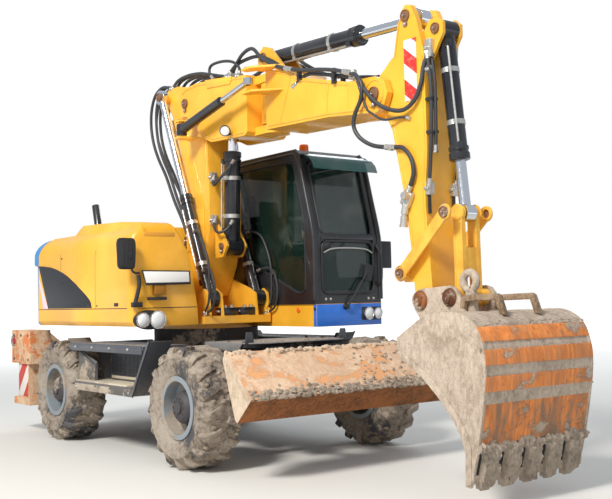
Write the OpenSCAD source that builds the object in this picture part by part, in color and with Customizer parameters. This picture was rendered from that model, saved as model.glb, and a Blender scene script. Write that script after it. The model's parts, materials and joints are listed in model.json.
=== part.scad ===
// Wheeled excavator with a two piece boom, a sideways swinging front boom, a dozer blade and
// two rear stabilisers. Millimetres, +X forward, +Y left, +Z up, ground at Z = 0.
// Points are [x, z] in the machine frame, whose x = 0 is the slewing axis. Every node is moved
// by origin_x so that the origin lies under the middle of the whole machine.

/* [Running gear] */
// Front axle, ahead of the slewing axis
front_axle_x = 1500; // [1400:10:1600]
// Rear axle, behind the slewing axis
rear_axle_x = -1200; // [-1300:10:-1150]
// Radius over the tyre lugs
tyre_r = 545; // [530:5:560]
// Height of the tyre lugs
lug_h = 32; // [20:1:40]
// Width of a tyre
tyre_w = 445; // [420:5:450]
// Outer face of the tyres from the centre plane
tyre_out_y = 1270; // [1260:5:1280]
// Radius of the rim flange
rim_r = 262; // [255:1:268]
// Distance of a steering pivot from the centre plane
kingpin_y = 740; // [730:5:750]

/* [Blade and stabilisers] */
// Width of the dozer blade
blade_w = 2500; // [2400:10:2540]
// Height of the blade pivot
blade_pivot_z = 620; // [600:5:640]
// Outer side of a stabiliser from the centre plane
stab_out_y = 1250; // [1220:5:1270]
// Rear face of the stabilisers
stab_back_x = -2450; // [-2500:10:-2440]

/* [Upper body] */
// Half the width of the upper body
body_half_w = 1250; // [1230:5:1265]
// Underside of the upper body
body_bottom_z = 1250; // [1235:5:1260]
// Top of the side boxes
body_top_z = 2230; // [2200:10:2260]
// Tail of the upper body
tail_x = -1800; // [-1850:10:-1780]
// Top of the cab roof
cab_top_z = 3020; // [2980:10:3030]
// Right side of the cab
cab_right_y = 385; // [380:1:400]
// Left side of the cab
cab_left_y = 1255; // [1240:5:1260]

/* [Boom and bucket] */
// Half the width of the lower boom
lower_boom_half_w = 195; // [185:1:198]
// Half the width of the upper boom
upper_boom_half_w = 240; // [230:1:242]
// Half the width of the stick
stick_half_w = 168; // [150:1:172]
// Width of the bucket
bucket_w = 1180; // [1000:10:1200]

/* [Hidden] */
$fn = 48;

// Middle of the machine's length, from the slewing axis
origin_x = (4574 + stab_back_x) / 2;

// Pins of the working arm, as [x, z]
boom_foot = [50, 1620];
boom_cyl_base = [570, 1510];
boom_cyl_eye = [-400, 3760];
knuckle = [40, 3620];
adjust_base = [545, 2050];
adjust_eye = [590, 3230];
stick_pin = [3120, 3160];
stick_cyl_base = [1360, 3860];
stick_cyl_eye = [3440, 3750];
bucket_cyl_base = [3720, 3590];
link_pin = [3880, 2120];
idler_pin = [3380, 1670];
bucket_pin = [3570, 1450];
bucket_link_pin = [3890, 1470];
boom_cyl_y = 285;
// Upright hinge of the front boom
swing_x = 1380;
// Swing cylinder on the right side of the upper boom, as [x, y, z]
swing_base = [230, -400, 3290];
swing_eye = [1500, -400, 3560];

wheel_z = tyre_r;
// Underside of the frame over the axles
saddle_z = wheel_z + 175;
// Tip of the wheel spindles from the centre plane
spindle_end_y = 1180;
// Pivot of a stabiliser, as [y, z]
stab_pivot = [480, 780];
axle_xs = [front_axle_x, rear_axle_x];
tyre_mid_y = tyre_out_y - tyre_w / 2;
blade_pivot = [1850, blade_pivot_z];
blade_cyl_base = [1780, 960];
blade_cyl_eye = [2300, 790];
blade_cyl_y = 110;
// Hole of the tow pin, as [x, z]
tow_hole = [-2385, 605];
// Hole in each end of the blade, as [x, z]
blade_hole = [2375, 965];
// Running clearance of a pin in its bore
fit = 0.08;

yellow = "#e8a81c";
blue = "#2f7fc4";
black = "#26282a";
mud = "#a89b8a";
steel = "#b9bdc0";
rust = "#a8652f";

// Shape helpers

// The machine frame, moved to the origin under the middle of the machine
module placed() {
    translate([-origin_x, 0, 0]) children();
}

// A side outline of [x, z] points, thick from y0 to y1
module slab(points, y0, y1) {
    translate([0, y1, 0]) rotate([90, 0, 0]) linear_extrude(y1 - y0) polygon(points);
}

// The same slab on both sides of the centre plane
module slab_pair(points, y0, y1) {
    slab(points, y0, y1);
    slab(points, -y1, -y0);
}

// A block from its low corner to its high corner
module block(low, high) {
    translate(low) cube(high - low);
}

// A pin along Y at p = [x, z]
module pin_y(p, r, y0, y1) {
    translate([p[0], y1, p[1]]) rotate([90, 0, 0]) cylinder(r = r, h = y1 - y0);
}

// The same pin on both sides of the centre plane
module pin_pair(p, r, y0, y1) {
    pin_y(p, r, y0, y1);
    pin_y(p, r, -y1, -y0);
}

// Lays its children, drawn along +Z from the origin, from p towards q in the plane y
module along(p, q, y = 0) {
    translate([p[0], y, p[1]])
        rotate([0, atan2(q[0] - p[0], q[1] - p[1]), 0])
            children();
}

// Cylinder barrel at the origin along +Z: eye, tube and gland
module ram_barrel(len, r, rod_r, eye_r, bore, eye_w) {
    difference() {
        union() {
            rotate([90, 0, 0]) translate([0, 0, -eye_w / 2]) cylinder(r = eye_r, h = eye_w);
            translate([0, 0, eye_r * 0.6]) cylinder(r = r, h = len - eye_r * 0.6);
            translate([0, 0, len - 60]) cylinder(r = r + 8, h = 60);
        }
        rotate([90, 0, 0]) cylinder(r = bore, h = eye_w + 2, center = true);
        translate([0, 0, eye_r + 12]) cylinder(r = rod_r + 1, h = len);
    }
}

// Cylinder rod along +Z from start to its eye at length l
module ram_rod(start, l, rod_r, eye_r, bore, eye_w) {
    difference() {
        union() {
            translate([0, 0, start]) cylinder(r = rod_r, h = l - eye_r * 0.6 - start);
            translate([0, 0, l]) rotate([90, 0, 0])
                translate([0, 0, -eye_w / 2]) cylinder(r = eye_r, h = eye_w);
        }
        translate([0, 0, l]) rotate([90, 0, 0]) cylinder(r = bore, h = eye_w + 2, center = true);
    }
}

function dist(p, q) = norm([q[0] - p[0], q[1] - p[1]]);

// Running gear

// Main frame: centre box, front horns, rear cross plates, deck and slewing ring
module chassis_frame() {
    frame_side = [[-2100, 640], [-1750, 560], [1750, 560], [1950, 540], [1950, 700], [1850, 1050],
        [-900, 1050], [-1750, 960], [-2100, 960]];
    color("#8d8478") placed() {
        difference() {
            union() {
                slab(frame_side, -400, 400);
                translate([0, 0, 900]) cylinder(r = 560, h = 300);
                block([-2440, -640, 640], [-2410, 640, 1000]);
                block([-2110, -640, 640], [-2080, 640, 1000]);
                block([-2440, -300, 660], [-2080, 300, 980]);
                block([1020, -600, 1050], [1690, 600, 1080]);
                block([-620, -762, 700], [560, 762, 780]);
                block([-2440, -60, 560], [-2330, 60, 700]);
            }
            for (x = axle_xs) block([x - 170, -401, 0], [x + 170, 401, saddle_z]);
            block([1700, -280, 500], [2000, 280, 1100]);
            pin_y(tow_hole, 25, -61, 61);
        }
        pin_y(blade_pivot, 35, -400, 400);
        pin_y(blade_cyl_base, 25, -281, 281);
        for (s = [-1, 1])
            translate([-2441, s * stab_pivot[0], stab_pivot[1]]) rotate([0, 90, 0]) cylinder(r = 30, h = 362);
    }
}

// Axle beam with its middle housing and the block that carries it
module axle_beam(x, half_len) {
    block([x - 75, -half_len, wheel_z - 80], [x + 75, half_len, wheel_z + 80]);
    translate([x, 0, wheel_z]) sphere(r = 160);
    block([x - 90, -150, wheel_z], [x + 90, 150, saddle_z]);
}

// Steered axle with a forked end at each side
module front_axle() {
    color(mud) placed() {
        axle_beam(front_axle_x, 640);
        for (s = [-1, 1]) translate([front_axle_x, s * kingpin_y, wheel_z]) {
            for (z = [-150, 110]) translate([-70, s > 0 ? -110 : -50, z]) cube([140, 160, 40]);
            translate([-70, s > 0 ? -110 : 85, -150]) cube([140, 25, 300]);
            translate([0, 0, -150]) cylinder(r = 30, h = 300);
        }
    }
}

// Rigid axle with a drum and spindle at each side
module rear_axle() {
    color(mud) placed() {
        axle_beam(rear_axle_x, 800);
        pin_pair([rear_axle_x, wheel_z], 50, 790, spindle_end_y);
        pin_pair([rear_axle_x, wheel_z], 125, 800, 985);
    }
}

// Steering knuckle on side s with its drum and spindle
module knuckle(s) {
    color(mud) placed() translate([front_axle_x, s * kingpin_y, wheel_z]) difference() {
        union() {
            translate([0, 0, -104]) cylinder(r = 55, h = 208);
            rotate([s * -90, 0, 0]) {
                cylinder(r = 50, h = spindle_end_y - kingpin_y);
                translate([0, 0, 75]) cylinder(r = 105, h = 170);
            }
            translate([0, s * 40 - 50, -90]) cube([50, 100, 180]);
        }
        translate([0, 0, -200]) cylinder(r = 30 + fit, h = 400);
    }
}
module knuckle_right() { knuckle(-1); }
module knuckle_left() { knuckle(1); }

// Places a wheel, drawn along +Z with its outer side up, at axle x on side s
module wheel_at(x, s) {
    placed() translate([x, s * tyre_mid_y, wheel_z]) rotate([s * -90, 0, 0]) children();
}

// Tyre outline as [radius, height], out to the lugs' tips
module tyre(x, s) {
    half = tyre_w / 2;
    color("#6b6358") wheel_at(x, s) rotate_extrude($fn = 64) polygon([
        [rim_r, -165], [rim_r + 24, -165], [rim_r + 28, -190], [rim_r + 70, 10 - half],
        [tyre_r - 130, -half], [tyre_r - 40, 15 - half], [tyre_r, 60 - half],
        [tyre_r, half - 60], [tyre_r - 40, half - 15], [tyre_r - 130, half],
        [rim_r + 70, half - 10], [rim_r + 28, 190], [rim_r + 24, 165], [rim_r, 165]]);
}
module tyre_front_right() { tyre(front_axle_x, -1); }
module tyre_front_left() { tyre(front_axle_x, 1); }
module tyre_rear_right() { tyre(rear_axle_x, -1); }
module tyre_rear_left() { tyre(rear_axle_x, 1); }

// Deep rim with the planet drive housing standing in its dish
module rim(x, s) {
    color(mud) wheel_at(x, s) rotate_extrude($fn = 64) polygon([
        [50 + fit, -40], [110, -40], [110, 20], [240, 20], [244, -165], [236, -184], [rim_r + 20, -184],
        [rim_r + 20, -168], [rim_r - 0.3, -165.3], [rim_r - 0.3, 165.3], [rim_r + 20, 168], [rim_r + 20, 184],
        [236, 184], [244, 60], [180, 45], [150, 45], [140, 130], [105, 165], [0, 165], [0, 145],
        [50 + fit, 145]]);
}
module rim_front_right() { rim(front_axle_x, -1); }
module rim_front_left() { rim(front_axle_x, 1); }
module rim_rear_right() { rim(rear_axle_x, -1); }
module rim_rear_left() { rim(rear_axle_x, 1); }

// Step box between the wheels of each side, with its tread, tool box and guards
module side_steps() {
    color("#3c3e40") placed() for (s = [-1, 1]) mirror([0, s > 0 ? 1 : 0, 0]) {
        block([-760, -1240, 1035], [900, -765, 1072]);
        block([-640, -1240, 590], [660, -900, 680]);
        block([-640, -790, 680], [600, -762, 1035]);
        block([-240, -1010, 700], [560, -790, 1034]);
        slab([[635, 590], [668, 590], [1030, 1120], [995, 1120]], -1245, -1000);
        slab([[-640, 680], [-250, 680], [-250, 880], [-640, 1000]], -1180, -1160);
        slab([[-640, 1000], [-610, 980], [-780, 1120], [-820, 1120]], -1245, -1000);
    }
}

// Blade and stabilisers

// Blade, a closed box whose two front plates meet at a ridge
blade_face = [[2340, 1060], [2720, 700], [2510, 500], [2475, 530], [2305, 1000]];
module blade() {
    color(rust) placed() difference() {
        slab(blade_face, -blade_w / 2, blade_w / 2);
        for (s = [-1, 1]) translate([blade_hole[0], s * blade_w / 2, blade_hole[1]]) rotate([90, 0, 0])
            cylinder(r = 18, h = 100, center = true);
    }
}

// Arms of the blade and the ears of its cylinders
module blade_arms() {
    arm = [[1800, 590], [1850, 570], [2480, 560], [2340, 860], [2240, 860], [2180, 700], [1850, 670],
        [1800, 650]];
    ear = [[2235, 780], [2300, 735], [2420, 700], [2360, 900], [2280, 850]];
    color(rust) placed() difference() {
        union() {
            slab_pair(arm, 205, 272);
            slab_pair(ear, 160, 185);
            slab_pair(ear, 35, 60);
        }
        pin_y(blade_pivot, 35 + fit, -300, 300);
        slab(blade_face, -blade_w / 2, blade_w / 2);
    }
}

module blade_barrels() {
    color(black) placed() for (s = [-1, 1]) along(blade_cyl_base, blade_cyl_eye, s * blade_cyl_y)
        ram_barrel(380, 45, 28, 50, 25 + fit, 98);
}
module blade_rods() {
    color(steel) placed() for (s = [-1, 1]) along(blade_cyl_base, blade_cyl_eye, s * blade_cyl_y)
        ram_rod(120, dist(blade_cyl_base, blade_cyl_eye), 28, 45, 20, 80);
}

// Stabiliser on side s: swinging arm, end box and foot
module stabiliser(s) {
    arm = [[430, 720], [540, 690], [1010, 810], [1010, 1180], [900, 1150], [560, 860], [430, 840]];
    color(rust) placed() mirror([0, s > 0 ? 1 : 0, 0]) difference() {
        union() {
            translate([-2400, 0, 0]) rotate([90, 0, 90]) linear_extrude(280)
                polygon([for (p = arm) [-p[0], p[1]]]);
            block([stab_back_x, -stab_out_y, 800], [-1860, -1005, 1190]);
            block([-2300, -1225, 400], [-1980, -1030, 801]);
            block([-2380, -stab_out_y, 320], [-1900, -1005, 400]);
        }
        translate([-2500, -stab_pivot[0], stab_pivot[1]]) rotate([0, 90, 0]) cylinder(r = 30 + fit, h = 500);
    }
}
module stabiliser_right() { stabiliser(-1); }
module stabiliser_left() { stabiliser(1); }

// Upper body

// Slewing platform with the boom brackets and the beam under the cab
module platform() {
    bracket = [[-180, 1330], [690, 1330], [660, 1560], [560, 1610], [180, 1730], [-60, 1740], [-160, 1600]];
    ram_bracket = [[420, 1330], [690, 1330], [660, 1560], [580, 1610], [500, 1560]];
    color(yellow) placed() {
        translate([0, 0, 1200.3]) cylinder(r = 500, h = 60);
        block([-1498, -440, body_bottom_z + 5], [620, 1180, 1330]);
        block([300, -440, body_bottom_z + 5], [690, 374, 1331]);
        block([-150, 400, body_bottom_z - 45], [1450, cab_left_y, 1430]);
        slab_pair(bracket, 201, 221);
        slab_pair(ram_bracket, 352, 374);
    }
    color(steel) placed() {
        pin_y(boom_foot, 45, -240, 240);
        pin_pair(boom_cyl_base, 32, 201, 376);
    }
}

// Side box right of the boom, its inner side slanted beside the boom
module side_box() {
    z1 = body_top_z;
    w = body_half_w;
    outer = [[110 - w, z1 + 1], [40 - w, z1 - 20], [-w, z1 - 90], [-w, 1300], [40 - w, 1254]];
    slanted = [[-525, 1254], [-525, 1450], [-594, 1880], [-758, z1 + 1]];
    upright = [[-440.3, 1254], [-440.3, z1 + 1]];
    color(yellow) placed() difference() {
        intersection() {
            slab([[-1498, 1255], [620, 1255], [690, 1300], [690, z1 - 110], [672, z1 - 45], [620, z1 - 10],
                [560, z1], [-1498, z1]], -w, -440);
            union() {
                translate([-301, 0, 0]) rotate([90, 0, 90]) linear_extrude(1100)
                    polygon(concat(slanted, outer));
                translate([-1600, 0, 0]) rotate([90, 0, 90]) linear_extrude(1300)
                    polygon(concat(upright, outer));
            }
        }
        block([-1499, -w - 1, 1424], [700, 10 - w, 1436]);
        block([680, -1300, 1424], [700, -500, 1436]);
        for (x = [-960, 60]) block([x, -w - 1, 1430], [x + 8, 8 - w, z1 - 80]);
    }
    // Raised lid with the collar of the exhaust
    color(yellow) placed() {
        slab([[-1040, z1], [-1015, z1 + 45], [-560, z1 + 76], [500, z1 + 72], [575, z1 + 50], [590, z1 - 4],
            [560, z1 - 4]], 140 - w, -441);
        translate([-860, -840, z1]) cylinder(r = 60, h = 90);
    }
}

// Engine hood: hollow shell with a raised top that spans the body
module rear_hood() {
    z1 = body_top_z;
    color(yellow) placed() {
        difference() {
            block([-1498, -440, 1330], [-300, body_half_w, z1]);
            block([-1460, -400, 1300], [-340, body_half_w - 35, z1 - 35]);
            for (z = [1500:60:1980]) block([-1350, body_half_w - 12, z], [-700, body_half_w + 1, z + 28]);
        }
        slab([[-1480, z1], [-260, z1], [-290, z1 + 60], [-420, z1 + 90], [-1300, z1 + 90], [-1450, z1 + 50]],
            -439.7, 1040);
    }
}

// Counterweight across the tail with rounded corners
module counterweight() {
    w = body_half_w;
    color(yellow) placed() {
        translate([0, 0, 1255]) linear_extrude(945) polygon([
            [-1498, -w], [-1498, w], [-1640, w], [-1740, w - 60], [tail_x, w - 260],
            [tail_x, 260 - w], [-1740, 60 - w], [-1640, -w]]);
    }
}

module engine_block() {
    color("#55585a") placed() block([-1400, -330, 1330], [-620, 500, 2050]);
}

// Exhaust pipe with a slanted mouth
module exhaust() {
    color(black) placed() translate([-860, -840, body_top_z + 90]) difference() {
        cylinder(r = 42, h = 250);
        translate([0, 0, -1]) cylinder(r = 34, h = 260);
        translate([-60, -60, 250]) rotate([0, 40, 0]) cube([200, 120, 200]);
    }
}

// Cab

// Side outline of the cab, inset by d on every side
function cab_outline(d) = [[-150 + d, 1430 + d], [1450 - d, 1430 + d], [1444 - d, 2100],
    [1215 - d, 2950 - d], [1130 - d, cab_top_z - d], [-60 + d, cab_top_z - d], [-150 + d, 2930 - d]];
right_window = [[-60, 2040], [-60, 2900], [1120, 2900], [1300, 2250], [1300, 1560], [1180, 1535]];
left_rear_window = [[-60, 2150], [-60, 2900], [230, 2900], [230, 2150]];
door_opening = [[300, 1500], [300, 2915], [1140, 2915], [1330, 2200], [1330, 1500]];

module cab_frame() {
    yr = cab_right_y;
    yl = cab_left_y;
    color(black) placed() difference() {
        slab(cab_outline(0), yr, yl);
        slab(cab_outline(60), yr + 50, yl - 50);
        slab(right_window, yr - 1, yr + 60);
        slab(door_opening, yl - 60, yl + 1);
        slab(left_rear_window, yl - 60, yl + 1);
        block([1250, yr + 90, 1560], [1460, yl - 90, 2090]);
        slab([[1300, 2130], [1500, 2130], [1300, 2890], [1100, 2890]], yr + 90, yl - 90);
        block([-160, yr + 90, 2150], [-60, yl - 90, 2880]);
        for (z = door_hinge_zs) translate([door_hinge[0], yl, z - 6])
            cylinder(r = door_hinge[1] + fit, h = 132);
    }
}

// Panes that fill the window openings
module cab_glass() {
    yr = cab_right_y;
    yl = cab_left_y;
    color("#31545a", 0.4) placed() {
        slab(right_window, yr + 20, yr + 28);
        slab(left_rear_window, yl - 28, yl - 20);
        slab([[1420, 1560], [1428, 1560], [1428, 2090], [1420, 2090]], yr + 90, yl - 90);
        slab([[1410, 2130], [1418, 2130], [1216, 2890], [1208, 2890]], yr + 90, yl - 90);
        block([-120, yr + 90, 2150], [-112, yl - 90, 2880]);
    }
}

door_hinge = [300, 14]; // x of the hinge line and radius of its barrels
door_hinge_zs = [1640, 2560];
door_outline = [[306, 1506], [306, 2909], [1136, 2909], [1324, 2198], [1324, 1506]];
door_window = [[350, 1700], [350, 2860], [1100, 2860], [1270, 2200], [1270, 1700]];
module cab_door() {
    color(black) placed() {
        difference() {
            slab(door_outline, cab_left_y - 40, cab_left_y);
            slab(door_window, cab_left_y - 41, cab_left_y + 1);
        }
        slab([[1180, 1560], [1240, 1560], [1240, 1660], [1180, 1660]], cab_left_y, cab_left_y + 20);
        for (z = door_hinge_zs) translate([door_hinge[0], cab_left_y, z])
            cylinder(r = door_hinge[1], h = 120);
    }
}
module door_glass() {
    color("#31545a", 0.4) placed()
        slab(door_window, cab_left_y - 26, cab_left_y - 18);
}

// Seat, two arm consoles, floor and steering column
module cab_interior() {
    color("#3a3b3d") placed() {
        block([150, 600, 1490], [700, 1060, 1720]);
        block([180, 590, 1720], [720, 1070, 1840]);
        slab([[60, 1710], [190, 1710], [200, 1850], [110, 2420], [-20, 2420]], 610, 1050);
        for (y = [480, 1090]) block([160, y, 1490], [820, y + 90, 1990]);
        slab([[1180, 1490], [1290, 1490], [1160, 1960], [1100, 1940]], 785, 875);
        translate([1105, 830, 2025]) rotate([0, -25, 0]) {
            difference() {
                translate([0, 0, -14]) cylinder(r = 186, h = 28);
                translate([0, 0, -20]) cylinder(r = 156, h = 40);
            }
            for (a = [0, 120, 240]) rotate(a) translate([0, -14, -6]) cube([165, 28, 12]);
            translate([0, 0, -110]) cylinder(r = 35, h = 125);
        }
    }
}

// Head lamps, beacon and rear lamps
module lamps() {
    color("#e6e6e0") placed() {
        for (y = [-1120, -965]) translate([690, y, 1320]) rotate([0, 90, 0]) cylinder(r = 68, h = 55);
        for (y = [990, 1125]) translate([1450, y, 1325]) rotate([0, 90, 0]) cylinder(r = 60, h = 55);
        translate([420, 620, cab_top_z]) cylinder(r = 60, h = 31);
        translate([420, 620, cab_top_z + 31]) cylinder(r = 48, h = 95);
        for (y = [-1000, 850]) block([tail_x - 20, y, 1560], [tail_x, y + 150, 1640]);
    }
}

// Mirrors on bent arms, the blank plate and its bracket
module mirrors() {
    color(black) placed() {
        block([755, -1440, 1790], [790, -1250, 2080]);
        slab([[700, 1560], [730, 1560], [785, 1800], [760, 1800]], -1262, -1240);
        block([690, -1262, 1540], [731, -1200, 1561]);
        block([740, -1215, 1700], [752, -700, 1790]);
        block([690, -1000, 1735], [740, -960, 1755]);
        block([1400, 1290, 1790], [1435, 1440, 2080]);
        block([1405, cab_left_y, 1840], [1430, 1290, 1862]);
    }
}

// Lower boom with its cylinders

module lower_boom() {
    side = [[-60, 1600], [-45, 1540], [50, 1510], [145, 1540], [330, 1850], [425, 2250], [430, 2600],
        [400, 3150], [235, 3530], [190, 3740], [60, 3800], [-200, 3860], [-420, 3850], [-490, 3770],
        [-400, 3640], [-330, 3560], [-160, 3150], [-20, 2400]];
    color(yellow) placed() {
        difference() {
            union() {
                slab(side, -lower_boom_half_w, lower_boom_half_w);
                slab_pair([[410, 1930], [560, 1940], [640, 2050], [570, 2160], [420, 2330]], 96, 124);
            }
            pin_y(boom_foot, 45 + fit, -300, 300);
        }
        pin_pair(boom_cyl_eye, 60, 195, 243);
        pin_pair(knuckle, 50, 195, 245);
        pin_y(adjust_base, 34, -126, 126);
    }
}

module boom_barrels() {
    color(black) placed() for (s = [-1, 1]) along(boom_cyl_base, boom_cyl_eye, s * boom_cyl_y)
        ram_barrel(1200, 58, 40, 85, 32 + fit, 124);
}
module boom_rods() {
    color(steel) placed() for (s = [-1, 1]) along(boom_cyl_base, boom_cyl_eye, s * boom_cyl_y)
        ram_rod(780, dist(boom_cyl_base, boom_cyl_eye), 40, 80, 35, 60);
}
module adjust_barrel() {
    color(black) placed() along(adjust_base, adjust_eye) ram_barrel(990, 84, 52, 95, 34 + fit, 184);
}
module adjust_rod() {
    color(steel) placed() along(adjust_base, adjust_eye)
        ram_rod(150, dist(adjust_base, adjust_eye), 52, 70, 30, 120);
}

// Upper boom behind the upright hinge

module upper_boom() {
    w = upper_boom_half_w;
    plate = [[-110, 3560], [-40, 3490], [60, 3475], [420, 3185], [560, 3130], [1180, 3106], [1230, 3140],
        [1230, 3700], [1150, 3710], [300, 3800], [40, 3790], [-80, 3720]];
    box = [[470, 3400], [800, 3400], [880, 3120], [1180, 3106], [1230, 3140], [1230, 3700], [1150, 3710],
        [470, 3782]];
    lug = [[500, 3410], [690, 3410], [665, 3190], [590, 3150], [515, 3190]];
    color(yellow) placed() {
        difference() {
            union() {
                slab_pair(plate, 204, w);
                slab(box, -204.5, 204.5);
                slab_pair(lug, 66, 96);
                for (z = [3106, 3610]) translate([0, 0, z]) {
                    translate([swing_x, 0, 0]) cylinder(r = 140, h = 80);
                    translate([1200, -140, 0]) cube([swing_x - 1200, 280, 80]);
                }
                for (z = [-95, 82]) translate([0, 0, swing_base[2] + z]) linear_extrude(20)
                    polygon([[140, -w + 1], [340, -w + 1], [285, -455], [175, -455]]);
            }
            pin_pair(knuckle, 50 + fit, 200, 300);
        }
        translate([swing_x, 0, 3106]) cylinder(r = 50, h = 584);
        translate([swing_base[0], swing_base[1], swing_base[2] - 96]) cylinder(r = 25, h = 199);
    }
}

// Lays its children along the swing cylinder, with their pins upright
module along_swing() {
    d = swing_eye - swing_base;
    translate(swing_base) rotate([0, atan2(d[0], d[2]), 0]) rotate([0, 0, 90]) children();
}
swing_len = norm(swing_eye - swing_base);
module swing_barrel() {
    color(black) placed() difference() {
        union() {
            translate([swing_base[0], swing_base[1], swing_base[2] - 59]) cylinder(r = 55, h = 118);
            along_swing() translate([0, 0, 40]) cylinder(r = 50, h = 760);
        }
        translate([swing_base[0], swing_base[1], swing_base[2] - 90]) cylinder(r = 25 + fit, h = 200);
        along_swing() translate([0, 0, 75]) cylinder(r = 31, h = 800);
    }
}
module swing_rod() {
    color(steel) placed() difference() {
        union() {
            along_swing() translate([0, 0, 420]) cylinder(r = 30, h = swing_len - 420);
            translate([swing_eye[0], swing_eye[1], swing_eye[2] - 32]) cylinder(r = 50, h = 64);
        }
        translate([swing_eye[0], swing_eye[1], swing_eye[2] - 60]) cylinder(r = 25, h = 120);
    }
}

// Front boom ahead of the upright hinge, with the lugs of the stick cylinder

module front_boom() {
    w = upper_boom_half_w;
    box = [[1560, 3106], [2780, 3062], [2780, 3330], [2100, 3500], [1900, 3600], [1560, 3690]];
    fork = [[2500, 3072], [3020, 3020], [3120, 3000], [3230, 3050], [3280, 3150], [3240, 3260], [3120, 3310],
        [2780, 3330], [2500, 3400]];
    lug = [[1560, 3500], [2000, 3500], [1700, 3700], [1480, 3930], [1360, 3970], [1265, 3900], [1265, 3810],
        [1400, 3725], [1560, 3725]];
    bracket = [[1565, 1 - w], [1850, 1 - w], [1620, -455], [1470, -460], [1445, -390], [1540, -330]];
    color(yellow) placed() {
        difference() {
            union() {
                slab(box, -w, w);
                slab_pair(fork, 178, w - 2);
                slab_pair(lug, 90, 120);
                translate([swing_x, 0, 3200]) cylinder(r = 140, h = 400);
                block([swing_x, -140, 3200], [1570, 140, 3600]);
                for (z = [-122, 102]) translate([0, 0, swing_eye[2] + z]) linear_extrude(20) polygon(bracket);
            }
            translate([swing_x, 0, 3000]) cylinder(r = 50 + fit, h = 800);
        }
        pin_y(stick_cyl_base, 38, -121, 121);
        pin_y(stick_pin, 48, -w - 6, w + 6);
    }
}
module stick_barrel() {
    color(black) placed() along(stick_cyl_base, stick_cyl_eye) ram_barrel(1340, 80, 50, 90, 38 + fit, 176);
}
module stick_rod() {
    color(steel) placed() along(stick_cyl_base, stick_cyl_eye)
        ram_rod(860, dist(stick_cyl_base, stick_cyl_eye), 50, 80, 35, 110);
}

// Stick with the head plates of its cylinder and the lugs of the bucket cylinder
module stick() {
    w = stick_half_w;
    head = [[3300, 3480], [3385, 3790], [3440, 3840], [3500, 3825], [3560, 3700], [3625, 3460], [3500, 3300],
        [3300, 3300]];
    body = [[3160, 3355], [3270, 3440], [3627, 3470], [3640, 3400], [3645, 2630], [3615, 2330], [3610, 2200], [3635, 1900],
        [3660, 1560], [3665, 1430], [3600, 1360], [3530, 1360], [3475, 1440], [3460, 1600], [3350, 1600],
        [3305, 1660], [3330, 1730], [3445, 1800],
        [3380, 2260], [3250, 2850], [3160, 3000], [3050, 3060], [2995, 3160], [3040, 3270]];
    lug = [[3500, 3300], [3635, 3300], [3800, 3540], [3800, 3630], [3740, 3680], [3650, 3670], [3520, 3500]];
    color(yellow) placed() {
        difference() {
            union() {
                slab(body, -w, w);
                slab_pair(head, 115, w - 1);
                slab_pair(lug, 82, 112);
            }
            pin_y(stick_pin, 48 + fit, -300, 300);
            pin_y(bucket_pin, 36 + fit, -300, 300);
            slab([[3630, 3300], [3760, 3300], [3760, 3500], [3620, 3500]], -81, 81);
        }
        pin_y(bucket_cyl_base, 32, -113, 113);
        pin_pair(idler_pin, 34, w, 243);
    }
}

module bucket_barrel() {
    color(black) placed() along(bucket_cyl_base, link_pin) ram_barrel(1060, 70, 45, 80, 32 + fit, 156);
}
module bucket_rod() {
    color(steel) placed() along(bucket_cyl_base, link_pin)
        ram_rod(300, dist(bucket_cyl_base, link_pin), 45, 70, 32, 100);
}

// A flat link with round ends between two pins, on both sides of the centre plane
module link_pair(p, q, r, y0, y1) {
    d = [q[0] - p[0], q[1] - p[1]] / dist(p, q);
    n = [-d[1], d[0]] * r * 0.8;
    pin_pair(p, r, y0, y1);
    pin_pair(q, r, y0, y1);
    slab_pair([p + n, p - n, q - n, q + n], y0, y1);
}
module idler_link() {
    color(yellow) placed() difference() {
        link_pair(idler_pin, link_pin, 62, 218, 241);
        pin_y(idler_pin, 34 + fit, -300, 300);
        pin_y(link_pin, 34, -300, 300);
    }
}
module power_link() {
    color(yellow) placed() difference() {
        union() {
            link_pair(link_pin, bucket_link_pin, 56, 58, 100);
            pin_y(bucket_link_pin, 66, -172, 172);
            slab([[3850, 1650], [3930, 1650], [3925, 1850], [3855, 1850]], -60, 60);
        }
        pin_y(bucket_link_pin, 36 + fit, -300, 300);
        pin_y(link_pin, 34, -300, 300);
    }
}

// Bucket: curved shell, two side plates, ears with their pins, cutting edge and teeth
bucket_shell = [[3690, 1180], [3960, 1330], [4080, 1362], [4280, 1370], [4420, 1330], [4510, 1250],
    [4560, 1120], [4574, 985], [4552, 785], [4486, 450], [4430, 240]];
module bucket() {
    h = bucket_w / 2;
    t = 28;
    inner = [[4385, 248], [4452, 455], [4518, 790], [4538, 985], [4526, 1110], [4482, 1224], [4406, 1298],
        [4275, 1336], [4090, 1328], [3980, 1298], [3705, 1148]];
    side = concat(bucket_shell, [[4400, 160], [4360, 165], [4368, 388], [4335, 500], [4245, 630],
        [4113, 767], [3946, 907], [3790, 990], [3690, 1060]]);
    tooth = [[4368, 330], [4472, 350], [4460, 230], [4412, 130], [4386, 130], [4366, 220]];
    ear = [[3485, 1450], [3530, 1535], [3620, 1545], [3880, 1560], [3965, 1520], [4040, 1355], [3960, 1325],
        [3700, 1180], [3640, 1190], [3500, 1380]];
    color(mud) placed() {
        slab(concat(bucket_shell, inner), -h, h);
        slab_pair(side, h - t, h);
        slab_pair(ear, 180, 214);
        slab([[4372, 250], [4436, 250], [4424, 190], [4380, 190]], -h + 1, h - 1);
        for (i = [-2:2]) slab(tooth, i * 225 - 55, i * 225 + 55);
        pin_y(bucket_pin, 36, -222, 222);
        pin_y(bucket_link_pin, 36, -222, 222);
    }
}

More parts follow.
